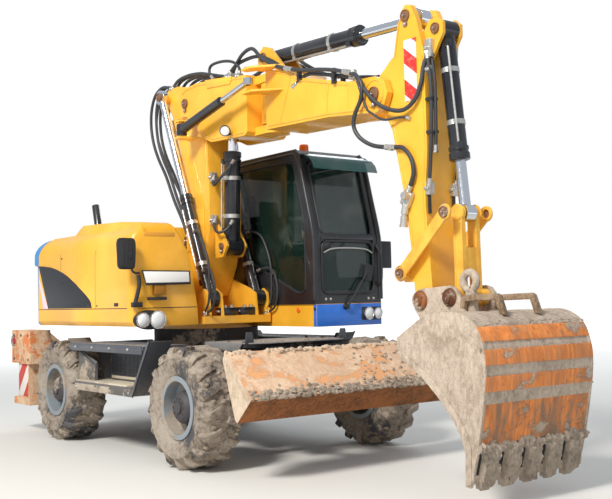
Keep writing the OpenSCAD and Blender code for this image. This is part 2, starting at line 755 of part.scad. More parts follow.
chassis_frame();
front_axle();
rear_axle();
side_steps();
knuckle_right();
knuckle_left();
tyre_front_right();
tyre_front_left();
tyre_rear_right();
tyre_rear_left();
rim_front_right();
rim_front_left();
rim_rear_right();
rim_rear_left();
blade();
blade_arms();
blade_barrels();
blade_rods();
stabiliser_right();
stabiliser_left();
platform();
side_box();
rear_hood();
counterweight();
engine_block();
exhaust();
cab_frame();
cab_glass();
cab_door();
door_glass();
cab_interior();
lamps();
mirrors();
lower_boom();
boom_barrels();
boom_rods();
adjust_barrel();
adjust_rod();
upper_boom();
swing_barrel();
swing_rod();
front_boom();
stick_barrel();
stick_rod();
stick();
bucket_barrel();
bucket_rod();
idler_link();
power_link();
bucket();
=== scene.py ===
# %% [markdown]
# # A wheeled excavator after a day in the mud
# The frame holds the machine at its real size: chassis, upper body, boom and bucket. This lesson gives it
# its looks: worn paint, dried mud, rust, hoses, glass and tyres. Each cell makes one piece or one finish.

# %% Load the frame
import json
import math
import random

import bmesh
import bpy
from mathutils import Matrix, Vector, noise


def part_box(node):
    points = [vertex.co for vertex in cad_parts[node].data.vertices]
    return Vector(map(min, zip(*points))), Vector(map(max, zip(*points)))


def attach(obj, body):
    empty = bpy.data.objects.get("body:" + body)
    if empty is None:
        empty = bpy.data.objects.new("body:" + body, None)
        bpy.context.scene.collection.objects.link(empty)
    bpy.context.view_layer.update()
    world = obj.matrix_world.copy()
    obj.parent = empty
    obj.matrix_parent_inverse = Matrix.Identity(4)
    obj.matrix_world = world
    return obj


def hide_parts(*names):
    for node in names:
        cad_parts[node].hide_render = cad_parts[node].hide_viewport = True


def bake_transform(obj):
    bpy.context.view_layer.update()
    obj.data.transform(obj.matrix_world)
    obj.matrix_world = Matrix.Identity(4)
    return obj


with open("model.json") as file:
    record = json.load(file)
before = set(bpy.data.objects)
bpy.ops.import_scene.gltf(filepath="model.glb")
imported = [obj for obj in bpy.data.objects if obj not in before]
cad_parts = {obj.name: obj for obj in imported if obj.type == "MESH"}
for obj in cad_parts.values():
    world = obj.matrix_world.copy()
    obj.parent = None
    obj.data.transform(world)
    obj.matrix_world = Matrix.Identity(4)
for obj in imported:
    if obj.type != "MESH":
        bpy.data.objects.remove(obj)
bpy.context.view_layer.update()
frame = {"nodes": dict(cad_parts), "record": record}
SLEW_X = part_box("platform")[1].x - 1.45      # the slewing axis, from the front of the cab beam


def at(x, y, z):
    """A point given from the slewing axis, forward, left and up, in metres."""
    return Vector((x + SLEW_X, y, z))


# %% [markdown]
# ## Camera
# The photographer stood at the front right with the lens at chest height. The picture is 612 by 499 pixels.
# The vanishing points of the wheels and of the axles give the lens and the place to stand, so the camera is
# set once and is not moved to flatter a piece.

# %% Camera
CAMERA_PLACE = at(9.089, -5.514, 1.478)
CAMERA_AZIMUTH = math.radians(52.805)
CAMERA_RISE = math.radians(2.954)
CAMERA_ROLL = math.radians(-1.278)
camera_data = bpy.data.cameras.new("camera")
camera_data.sensor_width = 36.0
camera_data.lens = 57.07
camera = bpy.data.objects.new("camera", camera_data)
bpy.context.scene.collection.objects.link(camera)
ahead = Vector((-math.sin(CAMERA_AZIMUTH) * math.cos(CAMERA_RISE),
                math.cos(CAMERA_AZIMUTH) * math.cos(CAMERA_RISE), math.sin(CAMERA_RISE)))
level = ahead.cross(Vector((0, 0, 1))).normalized()
right = math.cos(CAMERA_ROLL) * level + math.sin(CAMERA_ROLL) * level.cross(ahead)
camera.matrix_world = Matrix.Translation(CAMERA_PLACE) @ Matrix(
    (right, right.cross(ahead), -ahead)).transposed().to_4x4()
bpy.context.scene.camera = camera
print("camera", round(camera_data.lens, 2), "mm, at", [round(v, 3) for v in CAMERA_PLACE])

# %% [markdown]
# ## Floor, sky and lamps
# The floor is one pale plane. A white background comes from what the camera ray sees, not from more light
# on the machine. One broad lamp stands where the sun stood, high at the front right, and a weak one fills
# the far side, so that a colour comes out about as it is written.

# %% Floor and lamps
FLOOR_HALF = 60.0
floor_mesh = bpy.data.meshes.new("floor")
floor_mesh.from_pydata([(-FLOOR_HALF, -FLOOR_HALF, 0), (FLOOR_HALF, -FLOOR_HALF, 0),
                        (FLOOR_HALF, FLOOR_HALF, 0), (-FLOOR_HALF, FLOOR_HALF, 0)], [], [(0, 1, 2, 3)])
floor = bpy.data.objects.new("floor", floor_mesh)
bpy.context.scene.collection.objects.link(floor)


def lamp(name, place, aim, size, watts, colour=(1, 1, 1)):
    """A square soft lamp that looks at aim."""
    data = bpy.data.lights.new(name, "AREA")
    data.size, data.energy, data.color = size, watts, colour
    obj = bpy.data.objects.new(name, data)
    obj.location = place
    obj.rotation_euler = (aim - place).to_track_quat("-Z", "Y").to_euler()
    bpy.context.scene.collection.objects.link(obj)
    print("lamp", name, watts, "W")


MIDDLE = Vector((0, 0, 1.4))
lamp("sun_side", Vector((5.0, -10.5, 11.0)), MIDDLE, 3.0, 2300, (1.0, 0.97, 0.92))
lamp("far_side", Vector((-8.0, 9.0, 8.0)), MIDDLE, 7.0, 500, (0.92, 0.96, 1.0))
world = bpy.data.worlds.new("studio")
bpy.context.scene.world = world
world.use_nodes = True
bpy.context.scene.view_settings.view_transform = "Standard"

# %% [markdown]
# ## A small language for finishes
# A finish is a network of nodes. Written node by node it is hard to read, so one small class wraps a socket
# and overloads the arithmetic signs: `1 - mask * 0.5` adds the two Math nodes by itself. Every other node
# comes from one method, which sets the node's choices first and its sockets after.

# %% Shader arithmetic
class Wire:
    """A number or colour that leaves a node, with arithmetic."""

    def __init__(self, finish, socket):
        self.finish, self.socket = finish, socket

    def _maths(self, operation, left, right):
        return self.finish.node("ShaderNodeMath", {"operation": operation}, {0: left, 1: right})

    def __add__(self, other):
        return self._maths("ADD", self, other)

    def __sub__(self, other):
        return self._maths("SUBTRACT", self, other)

    def __rsub__(self, other):
        return self._maths("SUBTRACT", other, self)

    def __mul__(self, other):
        return self._maths("MULTIPLY", self, other)

    def __gt__(self, other):
        return self._maths("GREATER_THAN", self, other)

    def at_most(self, other):
        return self._maths("MINIMUM", self, other)

    def at_least(self, other):
        return self._maths("MAXIMUM", self, other)

    __radd__, __rmul__ = __add__, __mul__

    def between(self, low, high):
        """0 below low, 1 above high, smooth in between."""
        return self.finish.node("ShaderNodeMapRange", {"interpolation_type": "SMOOTHSTEP"},
                                {"Value": self, "From Min": low, "From Max": high})


class Finish:
    """One material, built from its Principled shader outwards."""

    def __init__(self, name):
        self.material = bpy.data.materials.new(name)
        self.material.use_nodes = True
        self.tree = self.material.node_tree
        self.shader = self.tree.nodes["Principled BSDF"]

    def node(self, kind, choices=None, sockets=None, out=0):
        new = self.tree.nodes.new(kind)
        for key, value in (choices or {}).items():
            setattr(new, key, value)
        for key, value in (sockets or {}).items():
            self.plug(new.inputs[key], value)
        return Wire(self, new.outputs[out])

    def plug(self, socket, value):
        if isinstance(value, Wire):
            self.tree.links.new(value.socket, socket)
        elif isinstance(value, (tuple, list)) and len(value) == 3 and len(socket.default_value) == 4:
            socket.default_value = (*value, 1.0)
        else:
            socket.default_value = value

    def place(self):
        """The point on the piece, in the frame's metres, at rest."""
        return self.node("ShaderNodeTexCoord", out="Object")

    def axis(self, letter):
        return self.node("ShaderNodeSeparateXYZ", sockets={0: self.place()}, out=letter)

    def facing(self, letter):
        """How far the surface faces along an axis of its own piece, from -1 to 1."""
        return self.node("ShaderNodeSeparateXYZ", sockets={
            0: self.node("ShaderNodeTexCoord", out="Normal")}, out=letter)

    def noise(self, scale, detail=4.0, roughness=0.6, stretch=(1, 1, 1)):
        where = self.node("ShaderNodeMapping", sockets={"Vector": self.place(), "Scale": stretch})
        return self.node("ShaderNodeTexNoise", sockets={
            "Vector": where, "Scale": scale, "Detail": detail, "Roughness": roughness})

    def mix(self, factor, first, second):
        """first where factor is 0, second where it is 1."""
        return self.node("ShaderNodeMix", {"data_type": "RGBA"},
                         {0: factor, 6: first, 7: second}, out=2)

    def edge(self, width):
        """1 on outer and inner edges that are rounder than width, else 0."""
        soft = self.node("ShaderNodeBevel", {"samples": 4}, {"Radius": width})
        flat = self.node("ShaderNodeNewGeometry", out="Normal")
        dot = self.node("ShaderNodeVectorMath", {"operation": "DOT_PRODUCT"}, {0: soft, 1: flat}, out="Value")
        return (1 - dot).between(0.015, 0.16)

    def done(self, colour, roughness=0.5, metallic=0.0, height=None, depth=0.01, coat=0.0, **fixed):
        """Plugs the finish together. height is a bump's height from 0 to 1, depth its size in metres."""
        self.plug(self.shader.inputs["Base Color"], colour)
        self.plug(self.shader.inputs["Roughness"], roughness)
        self.plug(self.shader.inputs["Metallic"], metallic)
        self.plug(self.shader.inputs["Coat Weight"], coat)
        for name, value in fixed.items():
            self.plug(self.shader.inputs[name.replace("_", " ")], value)
        if height is not None:
            self.plug(self.shader.inputs["Normal"], self.node(
                "ShaderNodeBump", sockets={"Height": height, "Strength": 1.0, "Distance": depth}))
        print("finish", self.material.name)
        return self.material


# %% Colours and the pale room
def tint(red, green, blue):
    """A screen colour, 0 to 255, as the linear colour that a shader wants."""
    return tuple(((v / 255 + 0.055) / 1.055) ** 2.4 if v > 10 else v / 3294 for v in (red, green, blue))


DRY_MUD, WET_MUD = tint(186, 172, 154), tint(128, 112, 94)
DARK_RUST = tint(112, 62, 34)
PALE_FLOOR = tint(222, 220, 214)

room = Finish("pale_floor")
far = room.node("ShaderNodeVectorMath", {"operation": "LENGTH"}, {0: room.place()}, out="Value")
floor.data.materials.append(room.done(PALE_FLOOR, roughness=0.9, Emission_Color=room.mix(
    far.between(6.0, 26.0), (0, 0, 0), (1, 1, 1)), Emission_Strength=0.9))
sky = world.node_tree
sky_light = sky.nodes["Background"]
sky_light.inputs["Color"].default_value = (0.86, 0.92, 1.0, 1)
sky_light.inputs["Strength"].default_value = 0.6
sky_white = sky.nodes.new("ShaderNodeBackground")
sky_white.inputs["Color"].default_value = (1, 1, 1, 1)
path = sky.nodes.new("ShaderNodeLightPath")
seen = sky.nodes.new("ShaderNodeMath")
seen.operation = "MAXIMUM"
sky.links.new(path.outputs["Is Camera Ray"], seen.inputs[0])
sky.links.new(path.outputs["Is Transmission Ray"], seen.inputs[1])
blend = sky.nodes.new("ShaderNodeMixShader")
sky.links.new(seen.outputs[0], blend.inputs[0])
sky.links.new(sky_light.outputs[0], blend.inputs[1])
sky.links.new(sky_white.outputs[0], blend.inputs[2])
sky.links.new(blend.outputs[0], sky.nodes["World Output"].inputs["Surface"])

# %% [markdown]
# ## Worn paint
# Machine paint is thick and glossy, but dust dulls it and edges chip first. Three masks do this: broad
# noise for dust, vertical streaks where rain ran, and an edge mask from the Bevel node, broken up by fine
# noise, for chips down to rust. `splash` is the height up to which mud has been thrown.


# %% Worn paint
def worn_paint(name, paint, splash=0.9, wear=0.5, grime=0.5, gloss=0.32):
    """Paint with dust, run-off streaks, chipped edges and mud thrown up from below."""
    f = Finish(name)
    cloud = f.noise(1.3, 4)
    grain = f.noise(38, 6, 0.7)
    streak = f.noise(5, 5, 0.6, (2.2, 2.2, 0.22))
    height = f.axis("Z")
    faded = tuple(min(1.0, c * 1.10 + 0.02) for c in paint)
    deep = tuple(c * 0.88 for c in paint)
    colour = f.mix(cloud.between(0.3, 0.7), deep, faded)
    colour = f.mix(streak.between(0.55, 0.82) * (0.5 * grime), colour, tint(140, 116, 84))
    dust = f.facing("Z").between(0.25, 0.95) * cloud.between(0.25, 0.6) * (0.6 * grime)
    colour = f.mix(dust, colour, DRY_MUD)
    low = (1 - (height + grain * 0.5 - 0.25).between(splash - 0.35, splash + 0.3)) * grain.between(0.36, 0.6)
    colour = f.mix(low, colour, f.mix(grain, WET_MUD, DRY_MUD))
    chips = (f.edge(0.010) * (grain.between(0.52, 0.64) * (0.2 + wear))).at_most(1)
    scratch = f.noise(60, 3, 0.5, (0.25, 1, 1.6)).between(0.72, 0.78) * wear * 0.7
    bare = chips.at_least(scratch)
    colour = f.mix(bare, colour, f.mix(grain, DARK_RUST, tint(130, 112, 92)))
    rough = gloss + dust * 0.5 + low * 0.5 + bare * 0.35 + streak * 0.1
    return f.done(colour, rough.at_most(0.95), height=grain * 0.2 + low * grain, depth=0.003,
                  coat=(0.3 - low * 0.3).at_least(0))


YELLOW, BLUE = tint(244, 178, 44), tint(30, 112, 214)
yellow_paint = worn_paint("yellow_paint", YELLOW, splash=0.7, wear=0.15, grime=0.18)
arm_paint = worn_paint("arm_yellow_paint", YELLOW, splash=1.35, wear=0.55, grime=0.5)
blue_paint = worn_paint("blue_paint", BLUE, splash=0.7, wear=0.15, grime=0.15)
tail_blue = worn_paint("tail_blue_paint", tint(38, 138, 206), splash=0.7, wear=0.15, grime=0.25)
black_paint = worn_paint("black_paint", tint(24, 26, 31), splash=0.7, wear=0.12, grime=0.25, gloss=0.25)
ram_black = worn_paint("ram_black_paint", tint(17, 20, 27), splash=0.5, wear=0.12, grime=0.12, gloss=0.14)
deck_grey = worn_paint("deck_grey_paint", tint(122, 126, 130), splash=1.05, wear=0.8, grime=0.9, gloss=0.5)
step_black = worn_paint("step_black_paint", tint(66, 70, 78), splash=0.62, wear=0.6, grime=0.9, gloss=0.45)

# %% [markdown]
# ## Mud and rust
# Dried mud is two things at once: a colour that pales where it is thick and dry, and a lumpy surface. A broad
# noise sets the crust and a fine one the crumbs, and both go to the bump too. What is under it is a plain
# colour, or a function that draws one: so the pins of the bucket show brown rust with runs.


# %% Mud over steel
def mud_over(name, under, cover=0.6, crumb=26.0, depth=0.02, rough=0.92, dark=WET_MUD, pale=DRY_MUD):
    """Dried mud that covers a share of the colour under it."""
    f = Finish(name)
    crust = f.noise(2.4, 5, 0.58)
    crumbs = f.noise(crumb, 7, 0.7)
    thick = (crust * 0.72 + crumbs * 0.28).between(0.60 - cover * 0.26, 0.67 - cover * 0.26)
    mud = f.mix((crust * 0.5 + crumbs * 0.5).between(0.40, 0.60), dark, pale)
    mud = f.mix(f.noise(crumb * 3.0, 3, 0.5).between(0.60, 0.72) * 0.35, mud, tint(96, 84, 72))
    colour = f.mix(thick, under(f) if callable(under) else under, mud)
    return f.done(colour, thick * (rough - 0.62) + 0.62, height=crumbs * 0.7 * thick + crust * 0.3,
                  depth=depth)


GREY_MUD, BROWN_MUD = tint(166, 154, 140), tint(122, 108, 94)
mud_on_rubber = mud_over("mud_on_rubber", tint(70, 70, 74), cover=0.72, depth=0.012,
                         dark=BROWN_MUD, pale=GREY_MUD)
mud_on_rim = mud_over("mud_on_rim", tint(138, 146, 152), cover=0.36, depth=0.004, dark=BROWN_MUD,
                      pale=GREY_MUD)
mud_on_hub = mud_over("mud_on_hub", tint(70, 66, 68), cover=0.30, depth=0.006, dark=tint(96, 80, 68),
                      pale=GREY_MUD)
mud_on_steel = mud_over("mud_on_steel", tint(96, 92, 88), cover=0.45, depth=0.006)
mud_on_black = mud_over("mud_on_black", tint(40, 40, 43), cover=0.25, depth=0.008, dark=BROWN_MUD,
                        pale=GREY_MUD)
dark_rust = mud_over("dark_rust", lambda f: f.mix(f.noise(7, 6, 0.7, (1.4, 1.4, 0.5)).between(0.35, 0.65),
                     tint(84, 50, 30), tint(146, 88, 46)), cover=0.12, depth=0.006)
mud_crust = mud_over("mud_crust", WET_MUD, cover=1.4, crumb=22, depth=0.02)

# %% [markdown]
# ## Bright rods, glass, rubber and plastic
# The rods are hard chrome, so nearly all of their look is the room. Cab glass is thin and slightly green.
# Hoses are black rubber with a dull skin, and the fittings are plated steel with some paint left on them.


# %% Other finishes
def plain(name, colour, roughness, metallic=0.0, fine=60.0, spread=0.25, depth=0.0008, **fixed):
    """A finish whose colour and gloss vary a little, with a fine bump."""
    f = Finish(name)
    grain = f.noise(fine, 4, 0.6)
    cloud = f.noise(2.5, 4, 0.6)
    darker = tuple(c * (1 - spread) for c in colour)
    lighter = tuple(min(1, c * (1 + spread)) for c in colour)
    return f.done(f.mix(cloud, darker, lighter), roughness + (grain - 0.5) * 0.2, metallic,
                  height=grain, depth=depth, **fixed)


chrome = plain("rod_chrome", (0.72, 0.74, 0.78), 0.12, 1.0, spread=0.08, depth=0.0002)
plated = plain("plated_fitting", (0.56, 0.55, 0.52), 0.38, 0.85, fine=30, spread=0.35, depth=0.002)
pin_steel = mud_over("pin_steel", tint(120, 84, 58), cover=0.15, crumb=40, depth=0.003)
hose_rubber = plain("hose_rubber", tint(52, 53, 57), 0.48, fine=120, spread=0.35, depth=0.001)
black_plastic = plain("black_plastic", tint(38, 39, 42), 0.5, fine=220, spread=0.2)
seat_cloth = plain("seat_cloth", tint(58, 58, 62), 0.9, fine=400, spread=0.3, depth=0.002)
# painted shade: a flat dark grey that stands for the shade in hollows, in holes and under the hood
painted_shade_dark = plain("painted_shade_dark", tint(34, 34, 34), 0.8, fine=20, spread=0.3, depth=0.004)
lens_clear = plain("lamp_lens", tint(225, 228, 230), 0.1, 0.0, fine=14, spread=0.1, depth=0.004,
                   Coat_Roughness=0.05)
lamp_mirror = plain("lamp_mirror", (0.8, 0.8, 0.8), 0.15, 1.0, fine=18, spread=0.15, depth=0.006)
amber = plain("amber_plastic", tint(236, 104, 26), 0.25, fine=40, spread=0.15)
red_plastic = plain("red_plastic", tint(176, 26, 24), 0.25, fine=40, spread=0.15)
vent_black = plain("vent_black", tint(30, 32, 37), 0.42, fine=320, spread=0.25, depth=0.002)
pale_stripe = plain("pale_stripe", tint(238, 206, 222), 0.4, fine=30, spread=0.05)
# painted shade: a darker yellow for the shallow step under the side box's lid
painted_shade_yellow = plain("painted_shade_yellow", tint(216, 152, 54), 0.5, fine=30, spread=0.06)
mirror_bracket = plain("mirror_bracket", tint(150, 100, 20), 0.5, fine=60, spread=0.2)
white_plate = plain("white_plate", tint(242, 242, 240), 0.35, fine=30, spread=0.04)
wood_tread = mud_over("pale_step_tread", tint(206, 194, 170), cover=0.35, depth=0.004)


def glass_finish(name, colour, alpha):
    """Thin glass: a clear coat of reflections over a faint green tint."""
    f = Finish(name)
    dirt = f.noise(1.6, 6, 0.65).between(0.50, 0.80)
    f.material.surface_render_method = "BLENDED"
    f.shader.inputs["Specular IOR Level"].default_value = 0.9
    return f.done(f.mix(dirt * 0.35, colour, tint(150, 160, 150)), 0.04 + dirt * 0.06,
                  Alpha=alpha + dirt * 0.06)


cab_pane = glass_finish("cab_glass", tint(22, 44, 38), 0.60)
visor_pane = glass_finish("visor_glass", tint(20, 92, 88), 0.72)
link_paint = mud_over("link_yellow_paint", lambda f: f.mix(
    f.noise(6, 5, 0.65).between(0.3, 0.7), tint(216, 156, 52), tint(240, 184, 70)),
    cover=0.06, depth=0.004, rough=0.85)


def stripes(name, one, other, pitch, lean):
    """Slanted stripes of two colours, dulled by dust."""
    f = Finish(name)
    ramp = f.axis("X") * (math.cos(lean) / pitch) + f.axis("Z") * (math.sin(lean) / pitch)
    band = f.node("ShaderNodeMath", {"operation": "FRACT"}, {0: ramp + 40.0}) > 0.5
    dust = f.noise(14, 6, 0.7).between(0.52, 0.74)
    return f.done(f.mix(dust * 0.55, f.mix(band, one, other), DRY_MUD), 0.5 + dust * 0.3, height=dust,
                  depth=0.001)


hazard = stripes("hazard_stripes", tint(232, 230, 224), tint(206, 40, 34), 0.200, math.radians(52))
hazard_low = stripes("hazard_stripes_low", tint(222, 216, 206), tint(196, 52, 40), 0.260, math.radians(-40))


# %% [markdown]
# ## What the ground does to the bucket and the blade
# Two functions make all of the finishes here. `fibrous` is the beige mud on what the soil only touches.
# `scoured` is the orange steel with upright scratches on the bands and patches that dig. The underside of the
# blade never meets the ground, so it stays brown with rust, and it is drawn darker as painted shade because
# it faces away from the light.


# %% Scoured steel and beige mud
def scoured(f, brown=0.45):
    """Orange steel with upright scratches, brown where they are deep."""
    fine = f.noise(42, 5, 0.7, (1.0, 1.0, 0.05))
    broad = f.noise(9, 4, 0.6, (1.0, 1.0, 0.12))
    colour = f.mix(fine.between(0.34, 0.66), tint(196, 112, 50), tint(246, 152, 76))
    return f.mix((broad * 0.6 + fine * 0.4).between(0.46, 0.60) * brown, colour, tint(132, 104, 82))


def fibrous(name, dark, pale, pit_shade=0.55, depth=0.012, patch=None, share=0.0):
    """Mud full of roots: upright streaks, hollows darkened as painted shade and, where given, patches of
    another colour.
    """
    f = Finish(name)
    straw = f.noise(30, 7, 0.78, (1.0, 1.0, 0.5))
    crumbs = f.noise(70, 6, 0.7)
    broad = f.noise(3.2, 5, 0.62)
    colour = f.mix((straw * 0.45 + crumbs * 0.2 + broad * 0.35).between(0.38, 0.60), dark, pale)
    # painted shade: the hollows sink in the bump and are darkened as the shade in them
    shaded_pits = (crumbs * 0.7 + broad * 0.3).between(0.58, 0.66) * pit_shade
    colour = f.mix(shaded_pits, colour, tint(78, 66, 54))
    if patch is not None:
        bare = (f.noise(4.4, 6, 0.68, (1.0, 0.7, 1.0)) * 0.75 + crumbs * 0.25).between(
            0.62 - share * 0.3, 0.66 - share * 0.3)
        colour = f.mix(bare, colour, patch(f) if callable(patch) else patch)
        return f.done(colour, 0.9 - bare * 0.25, depth=depth,
                      height=(straw * 0.6 + crumbs * 0.4 - shaded_pits * 0.6) * (1 - bare * 0.8))
    return f.done(colour, 0.92, height=straw * 0.6 + crumbs * 0.4 - shaded_pits * 0.6, depth=depth)


BEIGE, PALE_BEIGE = tint(150, 132, 114), tint(204, 187, 169)
beige_mud = fibrous("beige_mud", BEIGE, PALE_BEIGE)
bucket_back = fibrous("bucket_back_steel", BEIGE, tint(196, 176, 154),
                       patch=lambda f: scoured(f, 0.95), share=0.62)
band_steel = fibrous("scoured_band", BEIGE, PALE_BEIGE, patch=scoured, share=0.74)
bar_mud = fibrous("bar_mud", tint(96, 74, 54), tint(172, 148, 120), pit_shade=0.7)
grey_clods = fibrous("grey_clods", tint(138, 124, 110), tint(190, 174, 156), pit_shade=0.8, depth=0.02)
blade_top = fibrous("blade_upper_face", tint(200, 166, 136), tint(232, 202, 172), pit_shade=0.35, depth=0.006,
                    patch=tint(226, 164, 112), share=0.30)
# dark brown underside: rust, drawn darker still as painted shade because it faces away from the light
blade_under = fibrous("blade_under_face", tint(84, 52, 28), tint(160, 98, 50), pit_shade=0.4, depth=0.004)
blade_end = fibrous("blade_end_face", tint(170, 148, 124), tint(214, 194, 170), pit_shade=0.2, depth=0.004)
stab_paint = fibrous("stabiliser_face", tint(196, 150, 110), tint(226, 196, 164), pit_shade=0.3, depth=0.004,
                     patch=tint(214, 124, 66), share=0.35)

# %% [markdown]
# ## Tools for shapes
# Every piece below is real mesh. A `Shape` gathers simple solids (boxes, prisms, turned parts, tubes,
# hoses) in one mesh and remembers which finish each face wears. A solid that has a bevel width gets its own
# small bevel before it joins, because an edge with no radius never catches light and looks like a toy.
# `eased` does the same for a piece that keeps its construction shape: it copies the node's mesh, melts
# coplanar triangles together and puts a live Bevel modifier on it, so the node and its rounded twin are
# always the same size.

# %% Shape
X, Y, Z = Vector((1, 0, 0)), Vector((0, 1, 0)), Vector((0, 0, 1))


def smooth_line(points, steps=8):
    """More points along a soft line through the given ones, ends kept."""
    points = [Vector(p) for p in points]
    ghost = [2 * points[0] - points[1], *points, 2 * points[-1] - points[-2]]
    line = []
    for a, b, c, d in zip(ghost, ghost[1:], ghost[2:], ghost[3:]):
        for step in range(steps):
            t = step / steps
            line.append(0.5 * (2 * b + (c - a) * t + (2 * a - 5 * b + 4 * c - d) * t * t
                               + (3 * b - a - 3 * c + d) * t ** 3))
    return [*line, points[-1]]


def show(mesh, name, body, slot, *replaced):
    """Puts a mesh in the scene as a piece that rides on a body, and returns its object."""
    piece = bpy.data.objects.new(name, mesh)
    bpy.context.scene.collection.objects.link(piece)
    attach(piece, body)
    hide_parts(*replaced)
    return piece


class Shape:
    """Simple solids joined in one mesh, each face with a finish."""

    def __init__(self):
        self.mesh, self.finishes = bmesh.new(), []

    def _join(self, solid, finish, bevel=0.0, segments=2):
        if bevel:
            sharp = [e for e in solid.edges if len(e.link_faces) == 2 and e.calc_face_angle() > 0.6]
            bmesh.ops.bevel(solid, geom=sharp, offset=bevel, segments=segments, profile=0.5,
                            affect="EDGES", clamp_overlap=True)
        if finish not in self.finishes:
            self.finishes.append(finish)
        bmesh.ops.recalc_face_normals(solid, faces=solid.faces)
        for face in solid.faces:
            face.material_index = self.finishes.index(finish)
        keep = bpy.data.meshes.new("part")
        solid.to_mesh(keep)
        self.mesh.from_mesh(keep)
        bpy.data.meshes.remove(keep)
        solid.free()
        return self

    def box(self, low, high, finish, bevel=0.004, turn=None):
        """A box between two corners, turned about its middle by the matrix turn."""
        low, high = Vector(low), Vector(high)
        solid = bmesh.new()
        bmesh.ops.create_cube(solid, size=1.0)
        size = Matrix.Diagonal((*(high - low), 1))
        bmesh.ops.transform(solid, verts=solid.verts, matrix=Matrix.Translation((low + high) / 2)
                            @ (turn.to_4x4() if turn else Matrix.Identity(4)) @ size)
        return self._join(solid, finish, bevel)

    def prism(self, outline, push, finish, bevel=0.003, segments=2):
        """The flat outline, a list of points, pushed along a vector."""
        solid = bmesh.new()
        base = solid.faces.new([solid.verts.new(p) for p in outline])
        made = bmesh.ops.extrude_face_region(solid, geom=[base])
        bmesh.ops.translate(solid, vec=push, verts=[v for v in made["geom"]
                                                    if isinstance(v, bmesh.types.BMVert)])
        bmesh.ops.recalc_face_normals(solid, faces=solid.faces)
        return self._join(solid, finish, bevel, segments)

    def side_prism(self, outline, y0, y1, finish, bevel=0.003, segments=2):
        """An outline of (x, z) from the slewing axis, between y0 and y1."""
        return self.prism([at(x, y0, z) for x, z in outline], Y * (y1 - y0), finish, bevel, segments)

    def turned(self, profile, place, axis, finish, steps=40, bevel=0.0):
        """A profile of (radius, height) turned about the axis through place. A radius of 0 closes it."""
        solid = bmesh.new()
        spin = Vector(axis).to_track_quat("Z", "Y").to_matrix()
        rings = []
        for radius, height in profile:
            count = steps if radius > 1e-6 else 1
            rings.append([solid.verts.new(Vector(place) + spin @ Vector((
                radius * math.cos(2 * math.pi * k / steps), radius * math.sin(2 * math.pi * k / steps),
                height))) for k in range(count)])
        for lower, upper in zip(rings, rings[1:]):
            for k in range(steps):
                corners = [lower[k % len(lower)], lower[(k + 1) % len(lower)],
                           upper[(k + 1) % len(upper)], upper[k % len(upper)]]
                corners = list(dict.fromkeys(corners))
                if len(corners) > 2:
                    solid.faces.new(corners)
        for ring, radius in ((rings[0], profile[0][0]), (rings[-1], profile[-1][0])):
            if radius > 1e-6 and profile[0] != profile[-1]:
                solid.faces.new(ring)
        bmesh.ops.remove_doubles(solid, verts=solid.verts, dist=1e-6)
        return self._join(solid, finish, bevel)

    def loft(self, rings, finish, bevel=0.0, segments=3):
        """A body through rings that all have the same number of points, closed at both ends."""
        solid = bmesh.new()
        rows = [[solid.verts.new(p) for p in ring] for ring in rings]
        for a, b in zip(rows, rows[1:]):
            for k in range(len(a)):
                following = (k + 1) % len(a)
                solid.faces.new([a[k], a[following], b[following], b[k]])
        solid.faces.new(rows[0])
        solid.faces.new(rows[-1])
        bmesh.ops.remove_doubles(solid, verts=solid.verts, dist=1e-5)
        return self._join(solid, finish, bevel, segments)

    def rod(self, start, end, radius, finish, steps=20, bevel=0.003):
        """A round bar with softened ends."""
        start, end = Vector(start), Vector(end)
        long = (end - start).length
        soft = min(bevel, radius * 0.5, long * 0.3)
        return self.turned([(0, 0), (radius - soft, 0), (radius, soft), (radius, long - soft),
                            (radius - soft, long), (0, long)], start, end - start, finish, steps)

    def bolt(self, place, axis, radius, finish):
        """A hexagon head on a washer."""
        axis = Vector(axis).normalized()
        self.turned([(0, 0), (radius * 1.25, 0), (radius * 1.25, radius * 0.2), (0, radius * 0.2)],
                    place, axis, finish, 14)
        head = Vector(place) + axis * radius * 0.2
        return self.turned([(0, 0), (radius, 0), (radius, radius * 0.65), (radius * 0.8, radius * 0.8),
                            (0, radius * 0.8)], head, axis, finish, 6)

    def hose(self, points, radius, finish, sides=12, steps=8, ends=None, collar=1.35):
        """A round hose along a soft line, with crimped fittings of the finish ends at both ends."""
        line = smooth_line(points, steps) if steps > 1 else [Vector(p) for p in points]
        solid = bmesh.new()
        rings, side = [], None
        for k, here in enumerate(line):
            ahead = (line[min(k + 1, len(line) - 1)] - line[max(k - 1, 0)]).normalized()
            side = (side - ahead * side.dot(ahead)).normalized() if side else ahead.orthogonal().normalized()
            up = ahead.cross(side)
            rings.append([solid.verts.new(here + radius * (
                side * math.cos(2 * math.pi * s / sides) + up * math.sin(2 * math.pi * s / sides)))
                for s in range(sides)])
        for a, b in zip(rings, rings[1:]):
            for s in range(sides):
                solid.faces.new([a[s], a[(s + 1) % sides], b[(s + 1) % sides], b[s]])
        solid.faces.new(rings[0])
        solid.faces.new(rings[-1])
        self._join(solid, finish)
        if ends:
            for tip, inner in ((line[0], line[1]), (line[-1], line[-2])):
                back = (inner - tip).normalized()
                self.rod(tip - back * radius * 0.6, tip + back * radius * 3.2, radius * collar, ends, 14)
                self.turned([(0, 0), (radius * 1.6, 0), (radius * 1.6, radius), (0, radius)],
                            tip - back * radius * 0.9, back, ends, 6)
        return self

